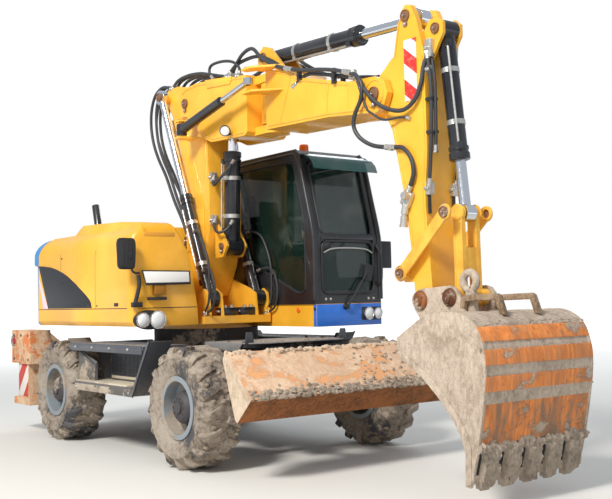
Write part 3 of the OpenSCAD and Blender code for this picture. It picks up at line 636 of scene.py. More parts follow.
    def lump(self, place, size, finish, rng, level=2, free=True):
        """A knobbly lump of mud, sunk in what it sits on. A free one is turned about Z at random."""
        solid = bmesh.new()
        bmesh.ops.create_icosphere(solid, subdivisions=level, radius=1.0)
        spin = Matrix.Rotation(rng.random() * 6.283 if free else 0.0, 3, "Z")
        for v in solid.verts:
            knob = 1 + rng.uniform(-0.16, 0.16)
            v.co = Vector(place) + spin @ Vector((v.co.x * size[0], v.co.y * size[1],
                                                  v.co.z * size[2])) * knob
        return self._join(solid, finish)

    def as_mesh(self, name, angle=35):
        """One mesh of all that was added. Edges sharper than angle stay sharp."""
        mesh = bpy.data.meshes.new(name)
        self.mesh.to_mesh(mesh)
        self.mesh.free()
        for finish in self.finishes:
            mesh.materials.append(finish)
        mesh.shade_smooth()
        mesh.set_sharp_from_angle(angle=math.radians(angle))
        print(name, len(mesh.polygons), "faces")
        return mesh

    def done(self, name, body, slot, *replaced, angle=35):
        """The finished piece on its body."""
        return show(self.as_mesh(name, angle), name, body, slot, *replaced)


NODE_BODY = {node: body for body, nodes in frame["record"]["behaviour"]["bodies"].items() for node in nodes}
NODE_SLOT = {row["node"]: row["material_slot"] for row in frame["record"]["subparts"]}


def eased(node, finishes, rule=None, width=0.006, segments=3):
    """A twin of a CAD node with rounded edges. rule(middle, normal) picks a finish's number for a face."""
    finishes = finishes if isinstance(finishes, (list, tuple)) else [finishes]
    shape = bmesh.new()
    shape.from_mesh(frame["nodes"][node].data)
    bmesh.ops.remove_doubles(shape, verts=shape.verts, dist=2e-5)
    shape.normal_update()
    for face in shape.faces:
        face.material_index = rule(face.calc_center_median(), face.normal) if rule else 0
    bmesh.ops.dissolve_limit(shape, angle_limit=math.radians(0.6), verts=shape.verts, edges=shape.edges,
                             use_dissolve_boundaries=False, delimit={"MATERIAL"})
    mesh = bpy.data.meshes.new(node + "_finished")
    shape.to_mesh(mesh)
    shape.free()
    for finish in finishes:
        mesh.materials.append(finish)
    mesh.shade_smooth()
    mesh.set_sharp_from_angle(angle=math.radians(32))
    print(mesh.name, len(mesh.polygons), "faces")
    piece = show(mesh, mesh.name, NODE_BODY[node], NODE_SLOT[node], node)
    if width:
        rounding = piece.modifiers.new("rounded_edges", "BEVEL")
        rounding.width, rounding.segments, rounding.limit_method = width, segments, "ANGLE"
        rounding.angle_limit, rounding.harden_normals = math.radians(32), True
        rounding.use_clamp_overlap = True
    return piece


# %% [markdown]
# ## Tyres
# A tyre is a lathe part with blocks on it. The carcass is one turned profile with a bead, a bulged side and a
# scuff rib. The lugs could be a displaced texture, but a block tread shows in outline, so each lug is a real
# prism that wraps over the shoulder, slanted by 24 degrees, in two rows half a step apart, as in the
# construction model. Mud packed between the lugs is a handful of flattened lumps.

# %% Tyres
TYRE_SIDE = [(0.264, 0.150), (0.268, 0.166), (0.288, 0.170), (0.300, 0.180), (0.335, 0.192), (0.375, 0.204),
             (0.408, 0.211), (0.428, 0.2125), (0.431, 0.2160), (0.438, 0.2160), (0.442, 0.206),
             (0.460, 0.190), (0.482, 0.168), (0.500, 0.148), (0.510, 0.126), (0.513, 0.100), (0.5135, 0.0)]
LUG = [(0.455, 0.012), (0.541, 0.020), (0.541, 0.160), (0.505, 0.203), (0.440, 0.2185), (0.400, 0.150)]
LUGS, SLANT, LUG_MIDDLE = 17, Matrix.Rotation(math.radians(24), 4, "X"), Vector((0, 0, 0.105))


def wheel_frame(node, side):
    """The matrix that stands a wheel, drawn about Z with its outer side up, at its node."""
    low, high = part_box(node)
    return Matrix.Translation((low + high) / 2) @ Matrix.Rotation(side * math.radians(-90), 4, "X")


def tyre(node, side, seed):
    """A turned carcass, two rows of slanted lugs and lumps of mud between them."""
    rng = random.Random(seed)
    stand = wheel_frame(node, side)
    shape = Shape()
    ring = [*TYRE_SIDE, *[(r, -h) for r, h in reversed(TYRE_SIDE[:-1])]]
    shape.turned([*ring, ring[0]], stand.translation, stand.col[2].to_3d(), mud_on_rubber, 96)
    for k in range(2 * LUGS):
        row = k % 2
        turn = Matrix.Rotation(math.radians(k * 180 / LUGS + 83.25), 4, "Z")
        flip = Matrix.Diagonal((1, 1, -1 if row else 1, 1))
        lay = stand @ turn @ flip @ Matrix.Translation(LUG_MIDDLE) @ SLANT @ Matrix.Translation(-LUG_MIDDLE)
        wide = 0.064 + rng.uniform(-0.004, 0.0)
        shape.prism([lay @ Vector((r, wide / 2, h)) for r, h in LUG], lay.to_3x3() @ Vector((0, -wide, 0)),
                    mud_on_rubber, 0.007, 2)
        for _ in range(2):
            gap = Matrix.Rotation(math.radians(rng.uniform(6, 14)), 4, "Z")
            spot = stand @ turn @ gap @ Vector((0.508, 0, (1 - 2 * row) * rng.uniform(0.01, 0.15)))
            shape.lump(spot, (0.03, 0.025, 0.022), mud_crust, rng, 1)
    shape.done(node + "_muddy", NODE_BODY[node], "tyre_rubber", node, angle=42)


for seed, (node, side) in enumerate((("tyre_front_right", -1), ("tyre_front_left", 1),
                                     ("tyre_rear_right", -1), ("tyre_rear_left", 1))):
    tyre(node, side, seed)

# %% [markdown]
# ## Rims and hubs
# The rim keeps its construction shape with softened edges. A face is a hub face when it lies within 150 mm
# of the axle, and wears a darker coat of mud. The nuts, the hub cover with its bolts and the valve are
# added: they are small, but they catch the light and give the wheel its size.

# %% Rims and hubs
for node, side in (("rim_front_right", -1), ("rim_front_left", 1), ("rim_rear_right", -1),
                   ("rim_rear_left", 1)):
    stand = wheel_frame(node.replace("rim", "tyre"), side)
    hub = stand.translation.copy()
    eased(node, [mud_on_rim, mud_on_hub],
          lambda c, n, hub=hub: int(math.hypot(c.x - hub.x, c.z - hub.z) < 0.150), 0.004)
    outward = stand.col[2].to_3d()
    details = Shape()
    for k in range(10):
        spoke = Matrix.Rotation(k * math.tau / 10, 4, "Z")
        details.bolt(stand @ spoke @ Vector((0.166, 0, 0.045)), outward, 0.013, mud_on_hub)
        details.bolt(stand @ spoke @ Vector((0.085, 0, 0.165)), outward, 0.009, mud_on_hub)
    details.turned([(0, 0.165), (0.055, 0.165), (0.055, 0.178), (0.048, 0.183), (0, 0.183)], hub, outward,
                   mud_on_hub, 28)
    details.rod(stand @ Vector((0.222, 0.03, 0.05)), stand @ Vector((0.226, 0.03, 0.105)), 0.006,
                black_plastic, 8)
    details.done(node + "_nuts", NODE_BODY[node], "muddy_steel")

# %% [markdown]
# ## Chassis, axles and knuckles
# These pieces are mostly in shadow and caked with mud. Rounded twins of the construction shapes are enough.

# %% Chassis and axles
for node in ("chassis_frame", "front_axle", "rear_axle", "knuckle_right", "knuckle_left"):
    eased(node, mud_on_black, width=0.006)

# %% [markdown]
# ## Side box, hood and counterweight
# The big panels are smooth and clean, so their shape must carry them. Each is a loft: one cross outline,
# with a rounded shoulder, a slanted inner side and a raised lid, is repeated along the machine with a few
# sizes changed. The construction model holds the same boxes with plain tops. The counterweight is a loft
# upwards, from a slightly smaller lower part to a blue cap. The black vent panel, its pale stripe and the
# lip above it lie 1 mm proud of the side as thin plates.

# %% Panels
TOP, WIDE, SHOULDER = 2.230, 1.250, 0.200
LEAN_FROM, TAIL_LEAN = 2.0, 0.59             # above this height the rear end leans forward by this share
LID = [(-0.900, 0.0), (-0.880, 0.005), (-0.845, 0.028), (-0.790, 0.062), (-0.740, 0.086), (-0.700, 0.098),
       (-0.301, 0.087)]
FRONT_LID = [(-0.3005, 0.087), (0.194, 0.072), (0.600, 0.040), (0.630, 0.031), (0.650, 0.020), (0.668, 0.004),
             (0.682, -0.016), (0.690, -0.046)]


def arc_points(centre, radius, start, end, count):
    """Points on a circle between two angles in degrees."""
    return [(centre[0] + radius * math.cos(math.radians(a)), centre[1] + radius * math.sin(math.radians(a)))
            for a in [start + (end - start) * k / (count - 1) for k in range(count)]]


def box_ring(x, lift, slanted, wide=WIDE, back=False):
    """The cross outline of the side box at x, its lid raised by lift. The rear end leans forward."""
    inner = ([(-0.510, 1.254), (-0.518, 1.437), (-0.604, 1.961), (-0.752, min(2.214, TOP + lift - 0.004)),
              (-0.752 - (max(lift, 0) + 0.016) * 0.796, TOP + lift)] if slanted else
             [(-0.4403, 1.254), (-0.4403, 1.437), (-0.4403, 1.961), (-0.4403, TOP + lift - 0.010),
              (-0.4503, TOP + lift)])
    lid = [(-1.110 + max(lift, 0) * 0.147, TOP + lift), (-1.112, TOP + min(lift, 0) - 0.001)]
    outer = arc_points((SHOULDER - wide, TOP - SHOULDER + min(lift, 0)), SHOULDER, 109, 180, 9)
    ring = inner + lid + outer + [(-wide, 1.300), (0.040 - wide, 1.254)]
    return [at(x + (max(0, z - LEAN_FROM) * TAIL_LEAN if back else 0), y, z) for y, z in ring]


shape = Shape()
shape.loft([box_ring(-1.600, 0.0, False, back=True), *[box_ring(x, h, False) for x, h in LID]], yellow_paint,
           0.006, 2)
nose_rings = []
for x, h in FRONT_LID:
    nose_rings.append(box_ring(x, h, True,
                               WIDE - 0.075 + math.sqrt(max(0, 0.075 ** 2 - max(0, x - 0.615) ** 2))))
shape.loft(nose_rings, yellow_paint, 0.006, 2)
EXHAUST, LEAN = at(-0.850, -0.840, 2.235), Vector((-0.2706, 0, 0.9627))
shape.turned([(0.060, -0.03), (0.060, 0.092), (0.054, 0.098), (0.044, 0.098), (0.044, -0.03)], EXHAUST, LEAN,
             yellow_paint, 40)
shape.box(at(-1.598, -1.2504, 1.426), at(0.606, -1.2400, 1.434), vent_black, 0.0)
SEAM = [(-0.100, 1.434), (-0.094, 1.434), (-0.094, 1.961), (-0.066, 2.026), (-0.073, 2.026), (-0.100, 1.961)]
shape.prism([at(x, -1.2504, z) for x, z in SEAM], Y * 0.010, vent_black, 0.0)
shape.box(at(-0.969, -1.2504, 1.434), at(-0.963, -1.2400, 2.028), vent_black, 0.0)
shape.box(at(0.682, -1.175, 1.426), at(0.6904, -0.520, 1.434), vent_black, 0.0)
shape.done("side_box_panels", "upper_body", "yellow_paint", "side_box")

hood = Shape()


def hood_ring(x, lift, back=False):
    """The cross outline of the hood at x, its top raised by lift."""
    ring = [(-0.4397, 1.332), (-0.4397, TOP + lift), (0.955 - lift * 0.3, TOP + lift), (1.045, TOP)]
    ring += [(-y, z) for y, z in arc_points((SHOULDER - WIDE, TOP - SHOULDER), SHOULDER, 91, 180, 9)]
    ring += [(WIDE, 1.332)]
    return [at(x + (max(0, z - LEAN_FROM) * TAIL_LEAN if back else 0), y, z) for y, z in ring]


hood.loft([hood_ring(-1.600, 0.0, True), *[hood_ring(x, h * 0.9) for x, h in LID]], yellow_paint, 0.006, 2)
for k in range(9):
    z = 1.500 + k * 0.060
    hood.box(at(-1.350, 1.2425, z), at(-0.700, 1.2508, z + 0.028), vent_black, 0.0)
    hood.box(at(-1.350, 1.2485, z + 0.020), at(-0.700, 1.2580, z + 0.028), yellow_paint, 0.002,
             Matrix.Rotation(-0.4, 3, "X"))
for x in (-1.42, -0.62):
    hood.box(at(x, 1.2485, 1.38), at(x + 0.006, 1.2506, 2.02), vent_black, 0.0)
hood.box(at(-0.70, 1.250, 1.42), at(-0.64, 1.262, 1.45), black_plastic, 0.003)
hood.done("rear_hood_panels", "upper_body", "yellow_paint", "rear_hood")

tail = Shape()


def tail_ring(z, wide, back, front):
    """The plan outline of the counterweight at height z."""
    round_right = arc_points((back + 0.110, 0.110 - wide), 0.110, 270, 180, 8)
    round_left = arc_points((back + 0.110, wide - 0.110), 0.110, 180, 90, 8)
    return [at(x, y, z) for x, y in [(front, -wide), *round_right, *round_left, (front, wide)]]


BACK = -1.800
tail.loft([tail_ring(1.255, 1.200, -1.760, -1.590), tail_ring(1.275, 1.220, -1.776, -1.590),
           tail_ring(1.925, 1.222, -1.778, -1.590)], tail_blue, 0.004, 2)
cap = [tail_ring(1.928, 1.238, BACK + 0.012, -1.598), tail_ring(1.940, 1.2495, BACK, -1.598),
       tail_ring(2.000, 1.2495, BACK, -1.598)]
for a in range(0, 91, 10):
    lift, draw = math.sin(math.radians(a)) * 0.2, (1 - math.cos(math.radians(a))) * 0.2
    cap.append(tail_ring(2.029 + lift, 1.2495 - draw, BACK + draw, -1.598 + max(0, 0.029 + lift) * TAIL_LEAN))
tail.loft(cap, tail_blue, 0.0)
for y in (-0.55, 0.55):
    tail.turned([(0.0, 0.0), (0.035, 0.0), (0.042, 0.006), (0.042, 0.012), (0.026, 0.012), (0.022, 0.004),
                 (0, 0.004)], at(-1.640, y, 2.226), Z, black_plastic, 28)
tail.done("counterweight_cap", "upper_body", "yellow_paint", "counterweight")
# the engine block under the hood wears the flat dark grey of painted shade, as dark as the shade it sits in
eased("engine_block", painted_shade_dark, width=0.01)
pipe = Shape()
pipe.turned([(0.0415, 0.06), (0.0415, 0.355), (0.0385, 0.360), (0.0345, 0.355), (0.0345, 0.06)], EXHAUST,
            LEAN, black_paint, 40)
pipe.turned([(0.046, 0.10), (0.046, 0.118), (0.041, 0.120)], EXHAUST, LEAN, plated, 40)
pipe.done("exhaust_pipe", "upper_body", "black_paint", "exhaust")

SIDE = -1.250
panel = [(-1.590, 1.924), (-1.470, 1.917), (-1.245, 1.898), (-1.070, 1.866), (-0.908, 1.824), (-0.770, 1.780),
         (-0.645, 1.727), (-0.540, 1.682), (-0.449, 1.636), (-0.360, 1.594), (-0.285, 1.556), (-0.222, 1.518),
         (-0.182, 1.482), (-0.176, 1.440), (-1.325, 1.440)]
trim = Shape()
trim.side_prism(panel, SIDE - 0.002, SIDE + 0.004, vent_black, 0.0008)
trim.side_prism([(-1.594, 1.800), (-1.325, 1.438), (-1.463, 1.438)], SIDE - 0.0022, SIDE + 0.004, pale_stripe,
                0.0005)
lip = [(x - 0.004, z + 0.010) for x, z in panel[:14]]
trim.hose([at(x, SIDE - 0.0005, z) for x, z in lip], 0.006, yellow_paint, 8, 2)
for x, z in ((-0.960, 2.10), (-0.962, 1.72), (-0.090, 1.46)):
    trim.bolt(at(x + 0.03, SIDE, min(z, 1.98)), -Y, 0.008, black_plastic)
for x in (-0.30, 0.33):
    trim.box(at(x, SIDE - 0.004, 1.452), at(x + 0.09, SIDE + 0.004, 1.486), black_plastic, 0.002)
trim.done("side_panel_trim", "upper_body", "black_paint")

# %% [markdown]
# ## The front of the side box
# The twin lamps sit in one black oval. Above them a bracket carries the blank white plate in its black
# frame and the arm of the mirror. A shallow step under the lid is drawn as a thin darker yellow plate,
# painted shade, because it is only a few millimetres deep.

# %% Lamps, plate and mirror of the side box
nose = Shape()
oval = [(-1.0655 + 0.166 * math.cos(a) * (1 if abs(math.cos(a)) < 0.6 else 1.02), 1.316 + 0.094 * math.sin(a))
        for a in [k * math.tau / 40 for k in range(40)]]
nose.prism([at(0.688, y, z) for y, z in oval], X * 0.030, black_plastic, 0.006)
for y, r in ((-1.146, 0.062), (-0.985, 0.078)):
    nose.turned([(0, 0.024), (r * 0.5, 0.018), (r * 0.9, 0.034), (r, 0.040), (r + 0.010, 0.040),
                 (r + 0.012, 0.0)], at(0.700, y, 1.316), X, lamp_mirror, 40)
    nose.turned([(0, 0.062), (r * 0.5, 0.058), (r * 0.86, 0.048), (r * 0.98, 0.036)], at(0.700, y, 1.316), X,
                lens_clear, 40)
nose.prism([at(0.7455, y, z) for y, z in ((-1.165, 1.795), (-0.632, 1.790), (-0.625, 1.655),
                                          (-1.120, 1.648))], X * 0.010, black_plastic, 0.004)
nose.prism([at(0.7550, y, z) for y, z in ((-1.148, 1.782), (-0.650, 1.778), (-0.644, 1.678),
                                          (-1.120, 1.672))], X * 0.003, white_plate, 0.001)
nose.box(at(0.690, -1.02, 1.56), at(0.748, -0.90, 1.655), mirror_bracket, 0.004)
nose.box(at(0.690, -1.08, 1.505), at(0.765, -0.90, 1.535), black_plastic, 0.006)
nose.hose([at(0.72, -1.225, 1.47), at(0.735, -1.205, 1.56), at(0.75, -1.19, 1.66), at(0.75, -1.20, 1.75)],
          0.020, black_plastic, 10)
nose.box(at(0.690, -1.255, 1.440), at(0.745, -1.150, 1.490), black_plastic, 0.008)
nose.hose([at(0.752, -1.19, 1.765), at(0.760, -1.245, 1.770), at(0.765, -1.275, 1.80),
           at(0.768, -1.285, 1.87), at(0.772, -1.292, 1.93)], 0.011, black_plastic, 10)
outline = [at(0.775, -1.330 + 0.098 * sx * (1 - 0.06 * (sz < 0)), 1.950 + 0.150 * sz)
           for sx, sz in [(math.copysign(min(1, abs(math.cos(a)) ** 0.35), math.cos(a)),
                           math.copysign(min(1, abs(math.sin(a)) ** 0.35), math.sin(a)))
                          for a in [k * math.tau / 32 + 0.01 for k in range(32)]]]
nose.prism(outline, X * -0.030, black_plastic, 0.006)
nose.prism([p + X * 0.002 + (at(0.775, -1.330, 1.950) - p) * 0.12 for p in outline], X * 0.010, black_plastic,
           0.004)
for k in range(3):
    nose.box(at(0.785, -1.372 + k * 0.042, 1.86), at(0.791, -1.362 + k * 0.042, 2.05), black_plastic, 0.002)
nose.box(at(0.770, -1.320, 1.905), at(0.800, -1.285, 1.965), black_plastic, 0.006)
# painted shade: a thin darker yellow plate stands for the shade in the shallow step under the lid
nose.box(at(0.6885, -1.100, 2.128), at(0.6925, -0.765, 2.168), painted_shade_yellow, 0.001)
nose.done("side_box_front", "upper_body", "trim_plastic", "mirrors")

# %% [markdown]
# ## Boom, stick and links
# The steel plates of the arm keep their construction shapes with wide soft edges, so that the outline against
# the sky stays true. What makes an arm look real is welded and bolted on it: pin heads with their lock bolts,
# weld beads where plates meet, and a striped panel. Each goes on the body that carries it.

# %% Plates of the arm
for node in ("lower_boom", "upper_boom", "front_boom", "stick"):
    eased(node, arm_paint, width=0.010, segments=3)
eased("idler_link", link_paint, width=0.008)
eased("power_link", link_paint, width=0.008)


def pin_head(shape, x, z, y, side, radius, finish, lock=True):
    """The end of a pin with a chamfer, a keeper plate on one bolt and a grease nipple."""
    out = Y * side
    place = at(x, side * y, z)
    shape.turned([(0, 0.014), (radius * 0.30, 0.014), (radius * 0.34, 0.010), (radius * 0.78, 0.010),
                  (radius * 0.90, 0.018), (radius, 0.012), (radius, -0.004)], place, out, finish, 36)
    if lock:
        shape.box(at(x - 0.022, side * y + min(0, side * 0.012), z - radius * 1.75),
                  at(x + 0.022, side * y + max(0, side * 0.012), z - radius * 0.55), finish, 0.003)
        shape.bolt(at(x, side * (y + 0.012), z - radius * 1.45), out, 0.013, plated)
    shape.rod(place + out * 0.012, place + out * 0.034, 0.007, plated, 8, 0.001)


def bead(shape, points, y, finish, radius=0.007):
    """A weld bead along (x, z) points on the plane y."""
    shape.hose([at(x, y, z) for x, z in points], radius, finish, 6, 1)


def boss(shape, x, z, y, side, radius, height, finish):
    """A round boss welded on a plate."""
    shape.turned([(radius + 0.008, -0.002), (radius, 0.010), (radius, height - 0.004),
                  (radius - 0.004, height), (0, height)], at(x, side * y, z), Y * side, finish, 40)


shape = Shape()
for side in (-1, 1):
    pin_head(shape, 0.040, 3.620, 0.246, side, 0.052, pin_steel)
    pin_head(shape, -0.400, 3.760, 0.318, side, 0.046, pin_steel, lock=False)
    bead(shape, [(-0.04, 1.80), (-0.04, 2.40), (-0.178, 3.15), (-0.33, 3.50)], side * 0.196, arm_paint)
    bead(shape, [(0.17, 1.66), (0.305, 1.90), (0.395, 2.27), (0.398, 2.60), (0.370, 3.14), (0.22, 3.50)],
         side * 0.196, arm_paint)
    shape.side_prism([(-0.02, 2.02), (0.27, 2.02), (0.33, 2.20), (0.33, 2.46), (-0.06, 2.46)],
                     side * 0.2005 - 0.0055, side * 0.2005 + 0.0055, arm_paint, 0.004)
    pin_head(shape, 0.545, 2.050, 0.128, side, 0.036, pin_steel)
shape.done("lower_boom_fittings", "lower_boom", "yellow_paint")

shape = Shape()
for side in (-1, 1):
    boss(shape, 0.590, 3.230, 0.096, side, 0.062, 0.020, arm_paint)
    bead(shape, [(0.10, 3.50), (0.44, 3.215), (0.57, 3.158), (1.17, 3.135)], side * 0.241, arm_paint)
    bead(shape, [(-0.03, 3.73), (0.05, 3.765), (0.30, 3.775), (1.14, 3.685)], side * 0.241, arm_paint)
    shape.side_prism([(0.46, 3.795), (0.50, 3.700), (0.94, 3.664), (0.98, 3.735)], side * 0.2455 - 0.0055,
                     side * 0.2455 + 0.0055, arm_paint, 0.004)
shape.turned([(0, 0.016), (0.052, 0.016), (0.060, 0.010), (0.060, -0.004)], at(1.38, 0, 3.690), Z, pin_steel,
             36)
for k in range(4):
    a = math.pi * (k / 2 + 0.25)
    shape.bolt(at(1.38 + 0.098 * math.cos(a), 0.098 * math.sin(a), 3.690), Z, 0.014, plated)
shape.turned([(0, 0.012), (0.038, 0.012), (0.042, 0.006), (0.042, 0)], at(0.230, -0.400, 3.393), Z, pin_steel,
             28)
# the round work lamp on its bracket
shape.box(at(0.90, -0.300, 3.145), at(0.93, -0.238, 3.205), black_plastic, 0.004)
lamp_way = Vector((0.92, -0.38, -0.06)).normalized()
centre = at(0.960, -0.330, 3.178)
shape.turned([(0, -0.045), (0.030, -0.042), (0.050, -0.020), (0.056, 0.012), (0.052, 0.014), (0.046, 0.004)],
             centre, lamp_way, black_plastic, 32)
shape.turned([(0, 0.010), (0.030, 0.009), (0.046, 0.004)], centre, lamp_way, lens_clear, 32)
shape.done("upper_boom_fittings", "upper_boom", "yellow_paint")

shape = Shape()
for side in (-1, 1):
    pin_head(shape, 3.120, 3.160, 0.247, side, 0.062, pin_steel)
    boss(shape, 3.120, 3.160, 0.2385, side, 0.112, 0.006, arm_paint)
    pin_head(shape, 1.360, 3.860, 0.122, side, 0.046, pin_steel, lock=False)
    bead(shape, [(1.60, 3.135), (2.50, 3.100), (3.02, 3.052)], side * 0.241, arm_paint)
    bead(shape, [(1.60, 3.665), (1.89, 3.577), (2.09, 3.478), (2.77, 3.305)], side * 0.241, arm_paint)
    bead(shape, [(1.97, 3.545), (1.78, 3.125)], side * 0.241, arm_paint)
    bead(shape, [(2.52, 3.385), (2.48, 3.095)], side * 0.241, arm_paint)
shape.turned([(0, 0.012), (0.040, 0.012), (0.046, 0.006), (0.046, 0)], at(1.500, -0.400, 3.683), Z, pin_steel,
             28)
shape.done("front_boom_fittings", "front_boom", "yellow_paint")

shape = Shape()
for side in (-1, 1):
    pin_head(shape, 3.440, 3.750, 0.168, side, 0.050, pin_steel)
    pin_head(shape, 3.720, 3.590, 0.114, side, 0.044, pin_steel, lock=False)
    pin_head(shape, 3.380, 1.670, 0.244, side, 0.040, pin_steel, lock=False)
    boss(shape, 3.570, 1.450, 0.1675, side, 0.078, 0.008, arm_paint)
    bead(shape, [(3.30, 3.43), (3.36, 3.70), (3.44, 3.80)], side * 0.169, arm_paint)
    bead(shape, [(3.07, 3.09), (3.18, 3.02), (3.275, 2.86), (3.405, 2.27), (3.470, 1.80)], side * 0.169,
         arm_paint)
    bead(shape, [(3.615, 3.39), (3.62, 2.64), (3.59, 2.33), (3.585, 2.20), (3.61, 1.90)], side * 0.169,
         arm_paint)
    shape.box(at(3.417, side * 0.1715 - 0.0035, 3.052), at(3.556, side * 0.1715 + 0.0035, 3.548), hazard,
              0.001)
shape.done("stick_fittings", "stick", "yellow_paint")

shape = Shape()
for side in (-1, 1):
    pin_head(shape, 3.880, 2.120, 0.242, side, 0.044, pin_steel, lock=False)
    boss(shape, 3.380, 1.670, 0.2405, side, 0.058, 0.004, link_paint)
shape.done("idler_fittings", "idler", "yellow_paint")
shape = Shape()
for side in (-1, 1):
    boss(shape, 3.880, 2.120, 0.100, side, 0.060, 0.012, link_paint)
    boss(shape, 3.890, 1.470, 0.1005, side, 0.068, 0.012, link_paint)
    bead(shape, [(3.846, 2.06), (3.850, 1.54)], side * 0.101, link_paint)
shape.done("power_link_fittings", "link", "yellow_paint")

# %% [markdown]
# ## Cylinders
# A cylinder is a painted tube with a turned gland, a steel pipe clamped along it and a chrome rod. The tube
# and the rod keep their construction solids. The helper `ram` lays everything else along the line of its two
# pins: the gland, the bands with their clamps, two oil blocks and the pipe that joins them.


# %% Cylinder fittings
def ram(name, body, base, eye, y, long, radius, rod_radius, aside, bands=(0.32, 0.72), low=0.0):
    """The gland, bands, blocks and pipe of a cylinder. base and eye are pins as (x, z). aside says on which
    side the pipe runs, as (share in the arm's plane, share along Y)."""
    start = at(base[0], y, base[1])
    way = (at(eye[0], y, eye[1]) - start).normalized()
    across = way.cross(Y)
    out = (across * aside[0] + Y * aside[1]).normalized()
    shape = Shape()
    shape.turned([(rod_radius + 0.002, long + 0.006), (rod_radius + 0.012, long + 0.006),
                  (radius * 0.9, long + 0.001),
                  (radius + 0.013, long - 0.006), (radius + 0.013, long - 0.052),
                  (radius + 0.004, long - 0.060),
                  (radius + 0.004, long - 0.075), (radius + 0.010, long - 0.080),
                  (radius + 0.010, long - 0.105), (radius, long - 0.110)], start, way, ram_black, 48)
    for part in bands:
        far = long * part
        shape.turned([(radius - 0.001, far - 0.020), (radius + 0.005, far - 0.020),
                      (radius + 0.005, far + 0.020), (radius - 0.001, far + 0.020)], start, way, plated, 36)
        seat = start + way * far + out * (radius + 0.012)
        shape.box(seat - Vector((0.016, 0.016, 0.018)), seat + Vector((0.016, 0.016, 0.018)), plated, 0.003,
                  way.to_track_quat("Z", "Y").to_matrix())
    low, high = max(low, radius * 1.9), long - 0.10
    for far in (low, high):
        seat = start + way * far + out * (radius + 0.008)
        shape.box(seat - Vector((0.020, 0.022, 0.030)), seat + Vector((0.020, 0.022, 0.030)), ram_black,
                  0.004, way.to_track_quat("Z", "Y").to_matrix())
    lay = [start + way * far + out * (radius + lift) for far, lift in (
        (low, 0.012), (low + 0.03, 0.024), (low + 0.10, 0.026), (long * 0.5, 0.026), (high - 0.10, 0.026),
        (high - 0.03, 0.024), (high, 0.012))]
    shape.hose(lay, 0.0095, plated, 10, 3)
    shape.done(name, body, "black_paint")


for node, finish in (("boom_barrels", ram_black), ("adjust_barrel", ram_black), ("stick_barrel", ram_black),
                     ("bucket_barrel", ram_black), ("swing_barrel", ram_black), ("boom_rods", chrome),
                     ("adjust_rod", chrome), ("stick_rod", chrome), ("bucket_rod", chrome),
                     ("swing_rod", chrome), ("blade_barrels", mud_on_black), ("blade_rods", mud_on_steel)):
    eased(node, finish, width=0.004, segments=2)
for side in (-1, 1):
    ram(f"boom_ram_trim_{'right' if side < 0 else 'left'}", "boom_ram", (0.570, 1.510), (-0.400, 3.760),
        side * 0.285, 1.200, 0.058, 0.040, (0.9, side * 0.35), low=0.21)
ram("adjust_ram_trim", "adjust_ram", (0.545, 2.050), (0.590, 3.230), 0, 0.990, 0.084, 0.052, (0.5, -0.9))
ram("stick_ram_trim", "stick_ram", (1.360, 3.860), (3.440, 3.750), 0, 1.340, 0.080, 0.050, (-0.8, -0.6))
ram("bucket_ram_trim", "bucket_ram", (3.720, 3.590), (3.880, 2.120), 0, 1.060, 0.070, 0.045, (0.7, -0.7))

# %% [markdown]
# ## Cab
# The cab is a hollow frame with thin panes, and what sells it is depth: rubber seals that stand round each
# pane, a seat and consoles seen through dark green glass, and a clear sun visor over the front. Seals are
# soft lines laid round the window openings. The beam under the cab turns from yellow to blue just before
# the corner.

# %% Cab shell, panes and beam
eased("cab_frame", black_paint, width=0.014, segments=4)
eased("cab_door", black_paint, width=0.006)
eased("cab_glass", cab_pane, width=0)
eased("door_glass", cab_pane, width=0)
eased("cab_interior", seat_cloth, width=0.016, segments=3)
eased("platform", yellow_paint, width=0.008)
beam = Shape()
beam.box(at(1.395, 0.3985, 1.2035), at(1.4515, 1.2565, 1.4295), blue_paint, 0.007)
beam.done("beam_blue_end", "upper_body", "yellow_paint")


def rounded(points, radius, steps=5):
    """The closed line through the points with round corners."""
    line = []
    for before, here, after in zip([points[-1], *points], points, [*points[1:], points[0]]):
        a = here + (before - here).normalized() * radius
        b = here + (after - here).normalized() * radius
        line += [(a * (1 - t) + here * t) * (1 - t) + (here * (1 - t) + b * t) * t
                 for t in [k / steps for k in range(steps + 1)]]
    return line


def seal(shape, points, radius, thick, finish):
    """A rubber seal round a pane."""
    line = rounded([Vector(p) for p in points], radius)
    shape.hose([*line, line[0]], thick, finish, 8, 1)


cab = Shape()
RIGHT_PANE = [(-0.060, 2.040), (-0.060, 2.900), (1.120, 2.900), (1.300, 2.250), (1.300, 1.560),
              (1.180, 1.535)]
seal(cab, [at(x, 0.386, z) for x, z in RIGHT_PANE], 0.07, 0.010, black_plastic)
seal(cab, [at(x, 0.407, z) for x, z in RIGHT_PANE], 0.09, 0.014, black_plastic)
seal(cab, [at(x, 1.254, z) for x, z in ((-0.06, 2.15), (-0.06, 2.90), (0.23, 2.90), (0.23, 2.15))], 0.06,
     0.010, black_plastic)
seal(cab, [at(-0.151, y, z) for y, z in ((0.475, 2.15), (0.475, 2.88), (1.165, 2.88), (1.165, 2.15))], 0.07,
     0.010, black_plastic)
seal(cab, [at(1.451, y, z) for y, z in ((0.482, 2.06), (0.482, 1.53), (1.158, 1.53), (1.158, 2.06))], 0.085,
     0.013, black_plastic)
seal(cab, [at(1.449 - (z - 2.1) * 0.27, y, z) for y, z in ((0.482, 2.13), (0.482, 2.885), (1.158, 2.885),
                                                           (1.158, 2.13))], 0.07, 0.012, black_plastic)
